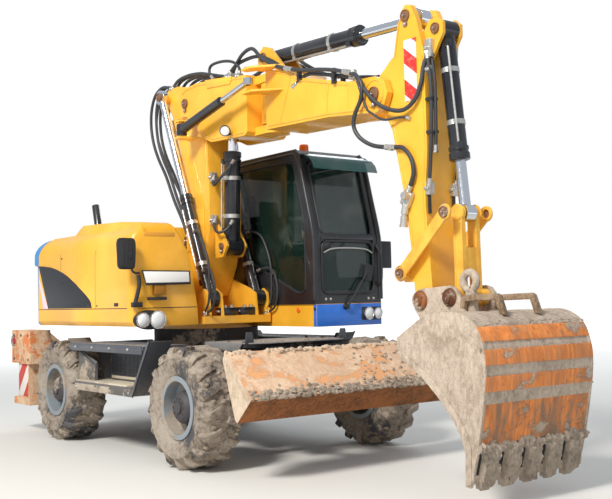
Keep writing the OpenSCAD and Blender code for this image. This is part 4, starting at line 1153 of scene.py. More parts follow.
for y, sign in ((0.482, 1), (1.158, -1)):        # rounded lower corners of the front pane
    fill = [at(1.425, y - sign * 0.004, 1.526), at(1.425, y + sign * 0.085, 1.526)] + [
        at(1.425, y + sign * (0.085 - 0.085 * math.sin(a)), 1.615 - 0.085 * math.cos(a)) for a in
        (0.0, 0.4, 0.8, 1.2, 1.57)]
    cab.prism(fill, X * 0.020, black_paint, 0.0)
cab.box(at(1.418, 0.470, 2.080), at(1.452, 1.170, 2.135), black_paint, 0.008)
cab.hose([at(1.456, 0.50, 1.945), at(1.470, 0.60, 1.985), at(1.472, 0.83, 1.995), at(1.470, 1.04, 1.985),
          at(1.456, 1.14, 1.950)], 0.008, plated, 10)
# gutter over the windows and the two curved front posts
cab.hose([at(-0.13, 0.384, 2.955), at(0.60, 0.380, 2.972), at(1.16, 0.384, 2.972)], 0.014, black_paint, 10, 1)
for y in (0.392, 1.248):
    cab.hose([at(x, y, z) for x, z in ((1.150, 3.000), (1.222, 2.905), (1.330, 2.520), (1.436, 2.110),
                                       (1.444, 1.800), (1.444, 1.470))], 0.030, black_paint, 14, 4)
# roof hatch and its rim, and four bolts below the front pane
cab.box(at(0.05, 0.52, 3.004), at(0.86, 1.12, 3.019), black_paint, 0.006)
cab.box(at(0.12, 0.60, 3.010), at(0.78, 1.04, 3.026), black_plastic, 0.008)
for y in (0.520, 0.580, 1.080, 1.150):
    cab.bolt(at(1.450, y, 1.478), X, 0.011, plated)
# wiper: motor, arm and blade
cab.turned([(0, 0.045), (0.026, 0.040), (0.034, 0.0)], at(1.449, 0.773, 1.400), X, black_plastic, 24)
cab.hose([at(1.488, 0.773, 1.400), at(1.490, 0.90, 1.56), at(1.478, 1.06, 1.76)], 0.009, black_plastic, 8)
cab.hose([at(1.482, 0.87, 1.44), at(1.484, 0.95, 1.56), at(1.474, 1.08, 1.75)], 0.006, black_plastic, 8)
cab.box(at(1.462, 1.02, 1.66), at(1.480, 1.13, 1.83), black_plastic, 0.004, Matrix.Rotation(-0.30, 3, "X"))
# hand rails, one at the front and one beside the door
cab.hose([at(1.452, 1.215, 1.62), at(1.500, 1.222, 1.66), at(1.505, 1.222, 1.90), at(1.452, 1.215, 2.02)],
         0.013, black_plastic, 12, ends=black_plastic)
cab.hose([at(0.250, 1.255, 1.60), at(0.250, 1.300, 1.66), at(0.250, 1.300, 2.30), at(0.250, 1.255, 2.38)],
         0.013, black_plastic, 12)
# the left mirror on its short arm
cab.box(at(1.405, 1.292, 1.792), at(1.432, 1.438, 2.078), black_plastic, 0.012)
cab.box(at(1.402, 1.302, 1.804), at(1.406, 1.428, 2.066), lamp_mirror, 0.001)
cab.hose([at(1.420, 1.250, 1.851), at(1.420, 1.275, 1.851), at(1.420, 1.300, 1.851)], 0.011, black_plastic,
         10)
cab.turned([(0, 0.012), (0.022, 0.010), (0.030, 0.0)], at(1.150, 0.399, 1.372), -Y, amber, 28)
cab.turned([(0, 0.008), (0.014, 0.006), (0.018, 0.0)], at(1.425, 0.399, 1.382), -Y, black_plastic, 20)
cab.done("cab_trim", "upper_body", "trim_plastic")

visor = Shape()
curve = [(1.212, 2.972), (1.290, 2.960), (1.372, 2.925), (1.432, 2.865), (1.462, 2.795), (1.456, 2.790),
         (1.426, 2.858), (1.368, 2.917), (1.288, 2.952), (1.212, 2.964)]
visor.side_prism(curve, 0.400, 1.240, visor_pane, 0.0)
for y in (0.430, 1.205):
    visor.side_prism([(1.200, 2.975), (1.205, 2.93), (1.375, 2.905), (1.372, 2.920), (1.30, 2.965)], y,
                     y + 0.010, black_plastic, 0.002)
visor.done("sun_visor", "upper_body", "cab_glass")

door = Shape()
DOOR_PANE = [(0.350, 1.700), (0.350, 2.860), (1.100, 2.860), (1.270, 2.200), (1.270, 1.700)]
seal(door, [at(x, 1.256, z) for x, z in DOOR_PANE], 0.07, 0.010, black_plastic)
seal(door, [at(x, 1.2555, z) for x, z in ((0.312, 1.512), (0.312, 2.903), (1.131, 2.903), (1.318, 2.198),
                                         (1.318, 1.512))], 0.04, 0.004, black_plastic)
door.box(at(1.175, 1.256, 1.560), at(1.245, 1.276, 1.665), black_plastic, 0.006)
door.hose([at(1.20, 1.270, 1.62), at(1.20, 1.292, 1.625), at(1.14, 1.294, 1.625), at(1.10, 1.282, 1.625)],
          0.008, black_plastic, 10)
door.hose([at(0.42, 1.258, 1.605), at(0.44, 1.295, 1.610), at(0.98, 1.295, 1.610), at(1.00, 1.258, 1.605)],
          0.011, black_plastic, 12)
door.done("door_trim", "door", "trim_plastic")

inside = Shape()
inside.box(at(0.18, 0.62, 1.835), at(0.70, 1.04, 1.885), seat_cloth, 0.024)
inside.side_prism([(0.035, 1.90), (0.17, 1.90), (0.115, 2.35), (0.005, 2.35)], 0.64, 1.02, seat_cloth, 0.022)
inside.side_prism([(0.000, 2.40), (0.090, 2.40), (0.070, 2.60), (-0.005, 2.60)], 0.72, 0.94, seat_cloth,
                  0.022)
for y in (0.525, 1.135):
    inside.hose([at(0.74, y, 1.985), at(0.76, y, 2.06), at(0.78, y, 2.13)], 0.011, plated, 10)
    inside.turned([(0, 0.0), (0.020, 0.01), (0.026, 0.05), (0.018, 0.085), (0, 0.092)], at(0.78, y, 2.12),
                  Vector((0.15, 0, 1)), black_plastic, 20)
    inside.hose([at(0.66, y, 1.985), at(0.70, y, 2.02), at(0.73, y, 2.025)], 0.018, black_plastic, 10)
inside.box(at(1.02, 0.50, 1.90), at(1.06, 0.66, 2.05), black_plastic, 0.010)
inside.box(at(1.017, 0.512, 1.915), at(1.021, 0.648, 2.035), lens_clear, 0.001)
inside.hose([at(1.04, 0.58, 1.50), at(1.05, 0.575, 1.75), at(1.045, 0.58, 1.92)], 0.014, black_plastic, 10)
for y in (0.70, 0.96):
    inside.box(at(1.08, y - 0.05, 1.50), at(1.24, y + 0.05, 1.525), black_plastic, 0.006,
               Matrix.Rotation(-0.35, 3, "Y"))
inside.done("cab_details", "upper_body", "trim_plastic")

lights = Shape()
for y, r in ((1.057, 0.058), (1.180, 0.050)):
    lights.turned([(r * 0.3, -0.004), (r * 0.85, 0.004), (r + 0.006, 0.030), (r + 0.008, 0.042), (r, 0.046),
                   (r * 0.92, 0.040)], at(1.448, y, 1.323), X, lamp_mirror, 40)
    lights.turned([(0, 0.058), (r * 0.5, 0.055), (r * 0.85, 0.046), (r * 0.96, 0.038)], at(1.448, y, 1.323),
                  X, lens_clear, 40)
lights.box(at(1.448, 0.985, 1.256), at(1.456, 1.245, 1.390), black_plastic, 0.006)
lights.turned([(0.062, 0.0), (0.062, 0.020), (0.054, 0.026), (0.050, 0.030), (0.050, 0.085), (0.042, 0.104),
               (0.022, 0.112), (0, 0.113)], at(1.010, 0.620, 3.000), Z, amber, 40)
lights.turned([(0.064, 0.0), (0.064, 0.018), (0.056, 0.024)], at(1.010, 0.620, 3.000), Z, black_plastic, 40)
for y in (-1.000, 0.850):
    lights.box(at(-1.820, y, 1.560), at(-1.798, y + 0.150, 1.640), red_plastic, 0.006)
    lights.box(at(-1.806, y - 0.012, 1.548), at(-1.797, y + 0.162, 1.652), black_plastic, 0.004)
lights.done("lamps_finished", "upper_body", "lamp_lens", "lamps")

# %% [markdown]
# ## Hoses
# The hoses are what a glance reads as a working machine. They are bolted at both ends, so they are trim and
# not free cords. A route is a few points that a soft line joins. One that crosses a joint is only put in the
# scene, on no body, and does not bend. Routes stay outside the plates and clear of the tubes through the
# whole travel.


# %% Hoses
def hoses(name, body, routes, radius=0.016, bend=None):
    """Hoses in one piece. A route is a y followed by (x, z) points, or (x, y, z) points. When bend is given,
    the piece is only put in the scene, on no body and unbent; the other body and the two points in bend are
    not used."""
    shape = Shape()
    for y, *points in routes:
        line = [at(p[0], y, p[1]) if len(p) == 2 else at(*p) for p in points]
        shape.hose(line, radius, hose_rubber, 10, 6, plated, 1.3)
    mesh = shape.as_mesh(name)
    if bend is None:
        show(mesh, name, body, "trim_plastic")
        return
    piece = bpy.data.objects.new(name, mesh)
    bpy.context.scene.collection.objects.link(piece)
    at(*bend[1])
    at(*bend[2])
    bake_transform(piece)


# behind the lower boom, up to the knuckle
rear = [(-0.19, 2.36), (-0.38, 2.62), (-0.55, 2.90), (-0.72, 3.12), (-0.83, 3.31), (-0.885, 3.51),
        (-0.87, 3.71), (-0.78, 3.86), (-0.62, 3.925), (-0.46, 3.90), (-0.36, 3.865)]
hoses("rear_hoses", "lower_boom", [
    (y, (-0.08, 2.16), *[(x + shift * (1 - abs(2 * k / 10 - 1)), z) for k, (x, z) in enumerate(rear)])
    for y, shift in ((-0.160, 0.0), (-0.118, 0.05), (-0.050, 0.02), (0.020, 0.10), (0.120, 0.05),
                     (0.160, 0.12))], 0.017)
hoses("rear_thin_hoses", "lower_boom", [
    (-0.200, (-0.02, 2.50), (-0.30, 2.82), (-0.44, 3.02), (-0.58, 3.21), (-0.68, 3.45), (-0.62, 3.70),
     (-0.47, 3.80)),
    (0.080, (-0.06, 2.60), (-0.33, 2.92), (-0.52, 3.12), (-0.66, 3.35), (-0.64, 3.60), (-0.50, 3.74))], 0.010)
# foot of the boom, crossing the boom's hinge
hoses("foot_hoses", "upper_body", [
    (y, (-0.42, 1.40), (-0.46, 1.60), (-0.40, 1.85), (-0.26, 2.05), (-0.10, 2.14))
    for y in (-0.160, -0.100, 0.0, 0.100, 0.160)], 0.017,
    bend=("lower_boom", (-0.44, 0, 1.46), (-0.20, 0, 2.08)))
for side, far in ((-1, 0.400), (1, 0.363)):
    hoses(f"ram_hoses_{'right' if side < 0 else 'left'}", "upper_body", [
        (0, (0.650, side * far, 1.350), (0.790, side * far, 1.42), (0.840, side * far, 1.60),
         (0.760, side * far, 1.79), (0.600, side * 0.363, 1.82), (0.520, side * 0.340, 1.80)),
        (0, (0.610, side * far, 1.350), (0.720, side * far, 1.50), (0.720, side * far, 1.86),
         (0.580, side * far, 2.14), (0.42, side * 0.355, 2.22), (0.335, side * 0.330, 2.22))], 0.012,
        bend=("boom_ram", (0.70, 0, 1.42), (0.56, 0, 1.80)))
hoses("adjust_hoses", "lower_boom", [
    (0, (0.455, -0.150, 2.33), (0.50, -0.185, 2.25), (0.58, -0.19, 2.19), (0.65, -0.13, 2.22),
     (0.648, -0.06, 2.30)),
    (0, (0.450, -0.150, 2.78), (0.50, -0.185, 2.69), (0.60, -0.18, 2.74), (0.665, -0.10, 2.86),
     (0.660, -0.04, 2.93))], 0.014, bend=("adjust_ram", (0.46, 0, 2.2), (0.62, 0, 2.24)))
# over the knuckle, from the lower to the upper boom
hoses("knuckle_hoses", "lower_boom", [
    (y, (-0.36, 3.855), (-0.22, 3.93), (0.0, 3.945), (0.24, 3.92), (0.44, 3.87), (0.64, 3.815), (0.80, 3.775))
    for y in (-0.175, -0.130, -0.060, 0.020, 0.100, 0.170)], 0.017,
    bend=("upper_boom", (-0.30, 0, 3.9), (0.40, 0, 3.8)))
# over the upright hinge, from the upper to the front boom
hoses("hinge_hoses", "upper_boom", [
    (y, (0.80, 3.790), (0.92, 3.86), (1.12, 3.885), (1.34, 3.87), (1.54, 3.79), (1.70, 3.70), (1.76, 3.655))
    for y in (-0.165, 0.165)] + [
    (0, (0.80, -0.13, 3.79), (0.95, -0.17, 3.87), (1.15, -0.22, 3.93), (1.36, -0.25, 3.93),
     (1.54, -0.27, 3.80), (1.76, -0.275, 3.68), (1.98, -0.275, 3.60)),
    (0, (0.80, 0.10, 3.79), (0.95, 0.17, 3.86), (1.15, 0.22, 3.91), (1.36, 0.25, 3.91), (1.54, 0.27, 3.80),
     (1.76, 0.275, 3.68), (1.98, 0.275, 3.60))], 0.018,
    bend=("front_boom", (1.00, 0, 3.8), (1.76, 0, 3.7)))
hoses("loop_hoses", "upper_boom", [
    (-0.200, (0.55, 3.80), (0.48, 3.88), (0.52, 3.945), (0.72, 3.945), (0.92, 3.90), (1.04, 3.82),
     (1.05, 3.735))], 0.015)
# along the front boom and over the stick's hinge
hoses("front_boom_hoses", "front_boom", [
    (y, (1.98, 3.60), (2.20, 3.545), (2.45, 3.50), (2.66, 3.45), (2.82, 3.40)) for y in (-0.275, 0.275)] + [
    (-0.230, (2.00, 3.44), (2.20, 3.51), (2.45, 3.46), (2.70, 3.40), (2.86, 3.35))], 0.018)
for side in (-1, 1):
    y = side * 0.275
    hoses(f"stick_hoses_{'right' if side < 0 else 'left'}", "front_boom", [
        (0, (2.82, y, 3.40), (2.94, y * 1.03, 3.35), (3.02, y * 1.05, 3.25), (3.00, y * 1.05, 3.13),
         (2.92, y * 1.04, 3.02), (2.89, y, 2.92), (2.95, y * 0.95, 2.82), (3.08, y * 0.85, 2.74),
         (3.26, side * 0.200, 2.70)),
        (0, (2.90, y * 0.97, 3.38), (3.05, y, 3.20), (3.20, y * 0.98, 3.06), (3.34, y * 0.90, 2.99),
         (3.45, side * 0.215, 2.98), (3.56, side * 0.205, 3.04), (3.62, side * 0.190, 3.16),
         (3.63, side * 0.165, 3.30), (3.66, side * 0.13, 3.43))], 0.018,
        bend=("stick", (2.94, 0, 3.40), (3.10, 0, 2.90)))
hoses("stick_thin_hoses", "front_boom", [
    (0, (2.92, -0.262, 3.33), (3.04, -0.270, 3.07), (3.11, -0.262, 3.00), (3.23, -0.240, 2.93),
     (3.38, -0.200, 2.93), (3.47, -0.182, 2.91))], 0.010, bend=("stick", (2.94, 0, 3.35), (3.10, 0, 2.95)))
hoses("stick_low_hoses", "stick", [
    (0, (3.26, -0.200, 2.70), (3.40, -0.200, 2.68), (3.49, -0.200, 2.59), (3.52, -0.200, 2.47),
     (3.48, -0.195, 2.38), (3.44, -0.19, 2.32))], 0.018)
hoses("bucket_ram_hoses", "stick", [
    (-0.118, (3.66, 3.42), (3.680, 3.34), (3.700, 3.16), (3.700, 2.87), (3.690, 2.62)),
    (-0.150, (3.655, 3.40), (3.672, 3.30), (3.690, 3.10), (3.680, 2.80), (3.662, 2.55), (3.640, 2.36)),
    (0.150, (3.655, 3.40), (3.680, 3.30), (3.705, 3.10), (3.690, 2.80), (3.662, 2.55), (3.640, 2.36))], 0.015)

# %% [markdown]
# ## Oil blocks and valves
# Hoses end in blocks. Each block is a small box with four bolts and two plugs. They stand where the hoses
# end: on the platform in front of the boom, at the knuckle, on the head of the stick and low on its side.


# %% Oil blocks
def oil_block(shape, place, size, finish=plated, turn=0.0):
    """A valve block with four bolts and two round plugs."""
    place, size = Vector(place), Vector(size)
    spin = Matrix.Rotation(turn, 3, "Y")
    shape.box(place - size, place + size, finish, 0.004, spin)
    for sx in (-0.6, 0.6):
        for sy in (-0.6, 0.6):
            shape.bolt(place + spin @ Vector((size.x * sx, size.y * sy, size.z)), spin @ Z, 0.006, plated)
    for sx in (-0.45, 0.45):
        shape.turned([(0.014, 0.0), (0.014, 0.012), (0.010, 0.016), (0, 0.016)],
                     place + spin @ Vector((size.x * sx, -size.y, 0)), -Y, plated, 12)


blocks = Shape()
oil_block(blocks, at(0.620, -0.120, 1.375), (0.040, 0.110, 0.040), ram_black)
oil_block(blocks, at(0.620, 0.130, 1.375), (0.040, 0.110, 0.040), ram_black)
oil_block(blocks, at(-0.420, 0.0, 1.370), (0.050, 0.220, 0.050), ram_black)
for y in (-0.16, -0.08, 0.08, 0.16):
    blocks.rod(at(0.640, y, 1.36), at(0.640, y, 1.44), 0.020, plated, 12)
blocks.done("platform_blocks", "upper_body", "black_paint")
blocks = Shape()
oil_block(blocks, at(-0.070, 0.0, 2.140), (0.050, 0.190, 0.050), ram_black)
oil_block(blocks, at(-0.350, 0.0, 3.860), (0.045, 0.190, 0.030), plated, 0.1)
oil_block(blocks, at(0.440, -0.150, 2.330), (0.022, 0.036, 0.050), plated)
oil_block(blocks, at(0.436, -0.150, 2.780), (0.022, 0.036, 0.050), plated)
blocks.done("lower_boom_blocks", "lower_boom", "black_paint")
blocks = Shape()
oil_block(blocks, at(0.820, 0.0, 3.765), (0.050, 0.190, 0.030), plated, 0.06)
oil_block(blocks, at(1.050, -0.205, 3.722), (0.035, 0.028, 0.028), plated, 0.06)
blocks.done("upper_boom_blocks", "upper_boom", "black_paint")
blocks = Shape()
for side in (-1, 1):
    blocks.box(at(2.10, side * 0.258 - 0.018, 3.470), at(2.14, side * 0.258 + 0.018, 3.580), ram_black, 0.004)
    blocks.box(at(2.60, side * 0.258 - 0.018, 3.340), at(2.64, side * 0.258 + 0.018, 3.480), ram_black, 0.004)
blocks.done("front_boom_clamps", "front_boom", "black_paint")
blocks = Shape()
for side in (-1, 1):
    oil_block(blocks, at(3.668, side * 0.130, 3.440), (0.034, 0.028, 0.070), plated, 0.1)
    oil_block(blocks, at(3.660, side * 0.130, 3.270), (0.026, 0.024, 0.030), plated, 0.1)
    for z in (3.02, 2.76):
        blocks.box(at(3.638, side * 0.130 - 0.040, z), at(3.705, side * 0.130 + 0.040, z + 0.024), ram_black,
                   0.004)
    oil_block(blocks, at(3.628, side * 0.135, 2.330), (0.026, 0.030, 0.050), plated, 0.1)
    blocks.rod(at(3.625, side * 0.135, 2.300), at(3.625, side * 0.135, 2.130), 0.014, ram_black, 12)
oil_block(blocks, at(3.430, -0.190, 2.265), (0.048, 0.022, 0.060), plated, 0.5)
blocks.turned([(0, 0.06), (0.030, 0.055), (0.036, 0.04), (0.036, 0.0)], at(3.450, -0.205, 2.285), -Y, plated,
              8)
blocks.hose([at(3.415, -0.195, 2.21), at(3.395, -0.195, 2.14), at(3.385, -0.195, 2.06)], 0.022, plated, 12,
            ends=plated)
blocks.done("stick_blocks", "stick", "black_paint")

# %% [markdown]
# ## Bucket
# The shell is a bent plate, so its side view is a soft line through the construction points, 9 mm inside
# them. Three wear strips bring it back out to the construction size. The side plates carry a cutting edge.
# Between the strips the mud is clods: spheres that were knocked out of round. Over the teeth it is one
# ragged sheet, whose depth at each point is worked out from noise: a mass above, and below it a hook on
# each tooth.

# %% Bucket
SHELL = [(3.690, 1.180), (3.960, 1.330), (4.080, 1.362), (4.280, 1.370), (4.420, 1.330), (4.510, 1.250),
         (4.560, 1.120), (4.574, 0.985), (4.552, 0.785), (4.486, 0.450), (4.430, 0.240)]
MOUTH = [(4.400, 0.160), (4.360, 0.165), (4.368, 0.388), (4.335, 0.500), (4.245, 0.630), (4.113, 0.767),
         (3.946, 0.907), (3.790, 0.990), (3.690, 1.060)]


def inset(line, depth):
    """A soft outline moved inwards by depth, to the right of its direction."""
    moved = []
    for k, here in enumerate(line):
        way = (line[min(k + 1, len(line) - 1)] - line[max(k - 1, 0)]).normalized()
        moved.append(here + Vector((way.y, -way.x)) * depth)
    return moved


skin = [v.xy for v in smooth_line([(x, z, 0) for x, z in SHELL], 6)]
skin = [Vector((min(v.x, 4.5735), min(v.y, 1.3695))) for v in skin]
back = [v for v in skin if v.x > 4.3]


def on_back(z):
    """The point at height z on the back of the shell."""
    a, b = next((a, b) for a, b in zip(back, back[1:]) if a.y >= z >= b.y)
    return a.lerp(b, (a.y - z) / (a.y - b.y))


half = 0.590
rng = random.Random(5)
bucket = Shape()
shell_out, shell_in = inset(skin, 0.009), inset(skin, 0.036)
turn_over = next(k for k, v in enumerate(skin) if v.x > 4.4 and v.y < 0.760)
for part, finish in ((slice(0, turn_over + 1), beige_mud), (slice(turn_over, None), bucket_back)):
    bucket.side_prism([*shell_out[part], *reversed(shell_in[part])], -half + 0.002, half - 0.002, finish, 0.0)
side = [*inset(skin, 0.002), *[Vector(p) for p in MOUTH]]
for y in (-half, half - 0.028):
    bucket.side_prism(side, y, y + 0.028, beige_mud, 0.005, 2)
edge = [Vector(p) for p in MOUTH[1:]]
for y in (-half - 0.007, half - 0.002):
    bucket.side_prism([*edge, *reversed([p + Vector((0.055, 0.030)) for p in edge])], y, y + 0.009, beige_mud,
                      0.003)
for low, high in ((1.166, 1.266), (1.004, 1.111), (0.823, 0.927)):
    strip = [v for v in back if low <= v.y <= high] + [on_back(low), on_back(high)]
    strip = sorted(strip, key=lambda v: -v.y)
    strip = [Vector((v.x - 0.0005, v.y)) for v in strip]
    bucket.side_prism([*strip, *reversed(inset(strip, 0.016))], -half + 0.004, half - 0.004, band_steel,
                      0.002)
for low, high in ((1.266, 1.300), (1.111, 1.166), (0.927, 1.004), (0.772, 0.823)):
    for _ in range(70):                            # mud packed between the strips
        z = rng.uniform(low, high)
        place = at(on_back(z).x - 0.021, rng.uniform(-0.56, 0.56), z)
        size = (0.013, rng.uniform(0.02, 0.08), rng.uniform(0.006, 0.016))
        bucket.lump(place, size, beige_mud, rng, 2, False)
TEETH_APART, LIP = 0.225, 0.240
ACROSS, DOWN = 147, 36                             # steps of the mud sheet, over the width and downwards


def off_tooth(y):
    """How far y is from the middle of the nearest tooth."""
    return abs((y + TEETH_APART / 2) % TEETH_APART - TEETH_APART / 2)


def limited(value):
    """The value, kept between 0 and 1."""
    return min(1.0, max(0.0, value))


def rough_line(seed, y):
    """Noise along one line, from -1 to 1."""
    return noise.noise(Vector((seed, y, 0.0)))


def back_at(z):
    """How far back the shell stands at height z, carried on in a straight line below the lip."""
    return 4.430 + (z - LIP) * 0.267


def mud_depth(y, z):
    """How far the mud at the teeth stands proud of the shell at (y, z)."""
    rough = sum(share * noise.noise(Vector((share, y * scale, z * scale))) for scale, share in
                ((12, 1.0), (30, 0.9), (64, 0.6)))
    off = off_tooth(y)
    top = 0.468 + 0.050 * rough_line(3.0, y * 6) + 0.030 * rough_line(4.0, y * 30)
    arch = 0.352 + 0.050 * max(0.0, off - 0.05) / 0.06
    mass = limited((top - z) / 0.025) * limited((z - arch) / 0.020)
    hook = limited((0.086 - off) / 0.014) * limited((0.430 - z) / 0.040)
    belly = 0.030 + 0.022 * math.sin(min(math.pi, max(0.0, (0.43 - z) / 0.29 * math.pi)))
    return max(mass * (0.036 + 0.024 * rough), hook * (belly + 0.018 * rough)) - 0.014


rows = []
for k in range(ACROSS + 1):
    y = -0.588 + 1.176 * k / ACROSS
    foot = LIP - 0.096 * limited((0.090 - off_tooth(y)) / 0.036) + 0.010 * rough_line(5.0, y * 14)
    outer = []
    for j in range(DOWN + 1):
        z = 0.530 + (foot - 0.530) * j / DOWN
        outer.append(at(back_at(z) + mud_depth(y, z), y, z))
    rows.append([*outer, at(back_at(foot) - 0.034, y, foot), at(back_at(0.53) - 0.034, y, 0.53)])
bucket.loft(rows, grey_clods)
# painted shade: a dark strip on the low back of the shell shows between the teeth, where the hollow is in
# shade
hollow = [v for v in skin if v.y <= 0.470 and v.x > 4.4]
bucket.side_prism([*inset(hollow, 0.006), *reversed(inset(hollow, 0.012))], -half + 0.004, half - 0.004,
                  painted_shade_dark, 0.0)
for i in range(-2, 3):                             # the steel tips below the mud
    y = i * TEETH_APART
    bucket.side_prism([(4.372, 0.300), (4.420, 0.300), (4.424, 0.200), (4.408, 0.132), (4.388, 0.132),
                       (4.370, 0.220)], y - 0.046, y + 0.046, grey_clods, 0.008, 3)
for _ in range(46):
    x = rng.uniform(4.00, 4.34)
    place = at(x, rng.uniform(-0.53, 0.53), 1.352 - max(0, x - 4.25) * 0.20)
    size = (rng.uniform(0.03, 0.07), rng.uniform(0.03, 0.06), 0.012)
    bucket.lump(place, size, beige_mud, rng, 2, False)
bucket.side_prism([(4.372, 0.252), (4.436, 0.252), (4.424, 0.190), (4.380, 0.190)], -0.588, 0.588, grey_clods,
                  0.006)
EAR = [(3.485, 1.450), (3.500, 1.505), (3.545, 1.538), (3.620, 1.545), (3.880, 1.560), (3.940, 1.545),
       (3.975, 1.505), (4.040, 1.355), (3.960, 1.325), (3.700, 1.180), (3.640, 1.190), (3.500, 1.380)]
for sign in (-1, 1):
    y0, y1 = sorted((sign * 0.180, sign * 0.214))
    bucket.side_prism(EAR, y0, y1, beige_mud, 0.008, 3)
    for x, z, r in ((3.570, 1.450, 0.074), (3.890, 1.470, 0.066)):
        bucket.turned([(r + 0.006, 0.0), (r, 0.018), (r - 0.012, 0.030), (0.046, 0.032), (0.040, 0.046),
                       (0, 0.048)], at(x, sign * 0.212, z), Y * sign, dark_rust, 36)
        for k in range(3):
            a = k * math.tau / 3 + 0.5
            bucket.bolt(at(x + 0.052 * math.cos(a), sign * 0.242, z + 0.052 * math.sin(a)), Y * sign, 0.009,
                        pin_steel)
        bucket.rod(at(x, sign * 0.183, z), at(x, sign * 0.170, z), 0.036, pin_steel, 24)
    bucket.rod(at(3.570, sign * 0.170, 1.450), at(3.570, 0, 1.450), 0.036, pin_steel, 24)
    bucket.rod(at(3.890, sign * 0.172, 1.470), at(3.890, 0, 1.470), 0.036, pin_steel, 24)
ring = [at(4.030 + 0.066 * math.cos(a), -0.141, 1.588 + 0.066 * math.sin(a)) for a in
        [k * math.tau / 30 - 0.9 for k in range(29)]]
bucket.hose(ring, 0.030, beige_mud, 14, 1)
bucket.side_prism([(3.985, 1.350), (4.100, 1.355), (4.080, 1.535), (4.005, 1.535)], -0.166, -0.116, beige_mud,
                  0.010, 3)
for y in (-0.190, 0.190):                          # the two bar loops
    bucket.side_prism([(3.985, 1.380), (3.996, 1.462), (4.020, 1.484), (4.345, 1.492), (4.372, 1.478),
                       (4.425, 1.335), (4.378, 1.335), (4.335, 1.444), (4.045, 1.438), (4.030, 1.380)],
                      y - 0.026, y + 0.026, bar_mud, 0.011, 3)
bucket.done("bucket_muddy", "bucket", "rusty_steel", "bucket", angle=40)

# %% [markdown]
# ## Dozer blade
# The blade keeps its box. Each of its plates has a finish of its own, told apart by the way it faces: what
# faces away from the light is dark brown, rust with painted shade. Clods lie in a band along the ridge and in
# a crust along the top edge.

# %% Blade
# faces that do not face both up and forward wear the dark underside finish: brown rust, darker as painted
# shade
eased("blade", [blade_top, blade_under, blade_end],
      lambda c, n: 2 if abs(n.y) > 0.7 else int(not (n.z > 0.2 and n.x > 0.2)), 0.007)
# the arms under the blade wear the same rust with painted shade
eased("blade_arms", blade_under, width=0.005)
crust = Shape()
rng = random.Random(11)
PLATE_TOP = Vector((2.340, 1.060))
along_plate = Vector((2.720 - 2.340, 0.700 - 1.060)).normalized()
for _ in range(430):                               # the band along the ridge
    far = 0.520 - abs(rng.gauss(0, 0.044))
    p = PLATE_TOP + along_plate * far
    place = at(p.x - 0.004, rng.uniform(-1.23, 1.23), p.y - 0.004)
    size = (rng.uniform(0.012, 0.026), rng.uniform(0.014, 0.05), rng.uniform(0.010, 0.022))
    crust.lump(place, size, grey_clods, rng)
for _ in range(120):                               # the crust on the top edge
    place = at(rng.uniform(2.315, 2.352), rng.uniform(-1.24, 1.24), rng.uniform(1.030, 1.058))
    size = (rng.uniform(0.012, 0.028), rng.uniform(0.02, 0.06), rng.uniform(0.012, 0.026))
    crust.lump(place, size, blade_end, rng)
for _ in range(60):                                # patches on the plate
    far = rng.uniform(0.10, 0.44)
    p = PLATE_TOP + along_plate * far
    place = at(p.x - 0.004, rng.uniform(0.0, 0.7), p.y - 0.004)
    size = (rng.uniform(0.008, 0.018), rng.uniform(0.01, 0.03), rng.uniform(0.008, 0.018))
    crust.lump(place, size, grey_clods, rng, 2, False)
for side in (-1, 1):
    crust.side_prism([(2.345, 1.045), (2.700, 0.702), (2.655, 0.690), (2.330, 0.995)], side * 1.2515 - 0.0015,
                     side * 1.2515 + 0.0015, blade_end, 0.001)
    # painted shade: a dark disc on each end plate stands for the shade in a hole
    crust.turned([(0, 0.0004), (0.0175, 0.0004)], at(2.375, side * 1.250, 0.965), Y * side, painted_shade_dark, 28)
crust.done("blade_mud", "dozer_blade", "rusty_steel")

# %% [markdown]
# ## Steps, tool box and guards
# The step box between the wheels is dusty black sheet. A mesh front, a pale tread board, bolts and a bent
# rail are added to it, and the slanted guards get a rubber edge.

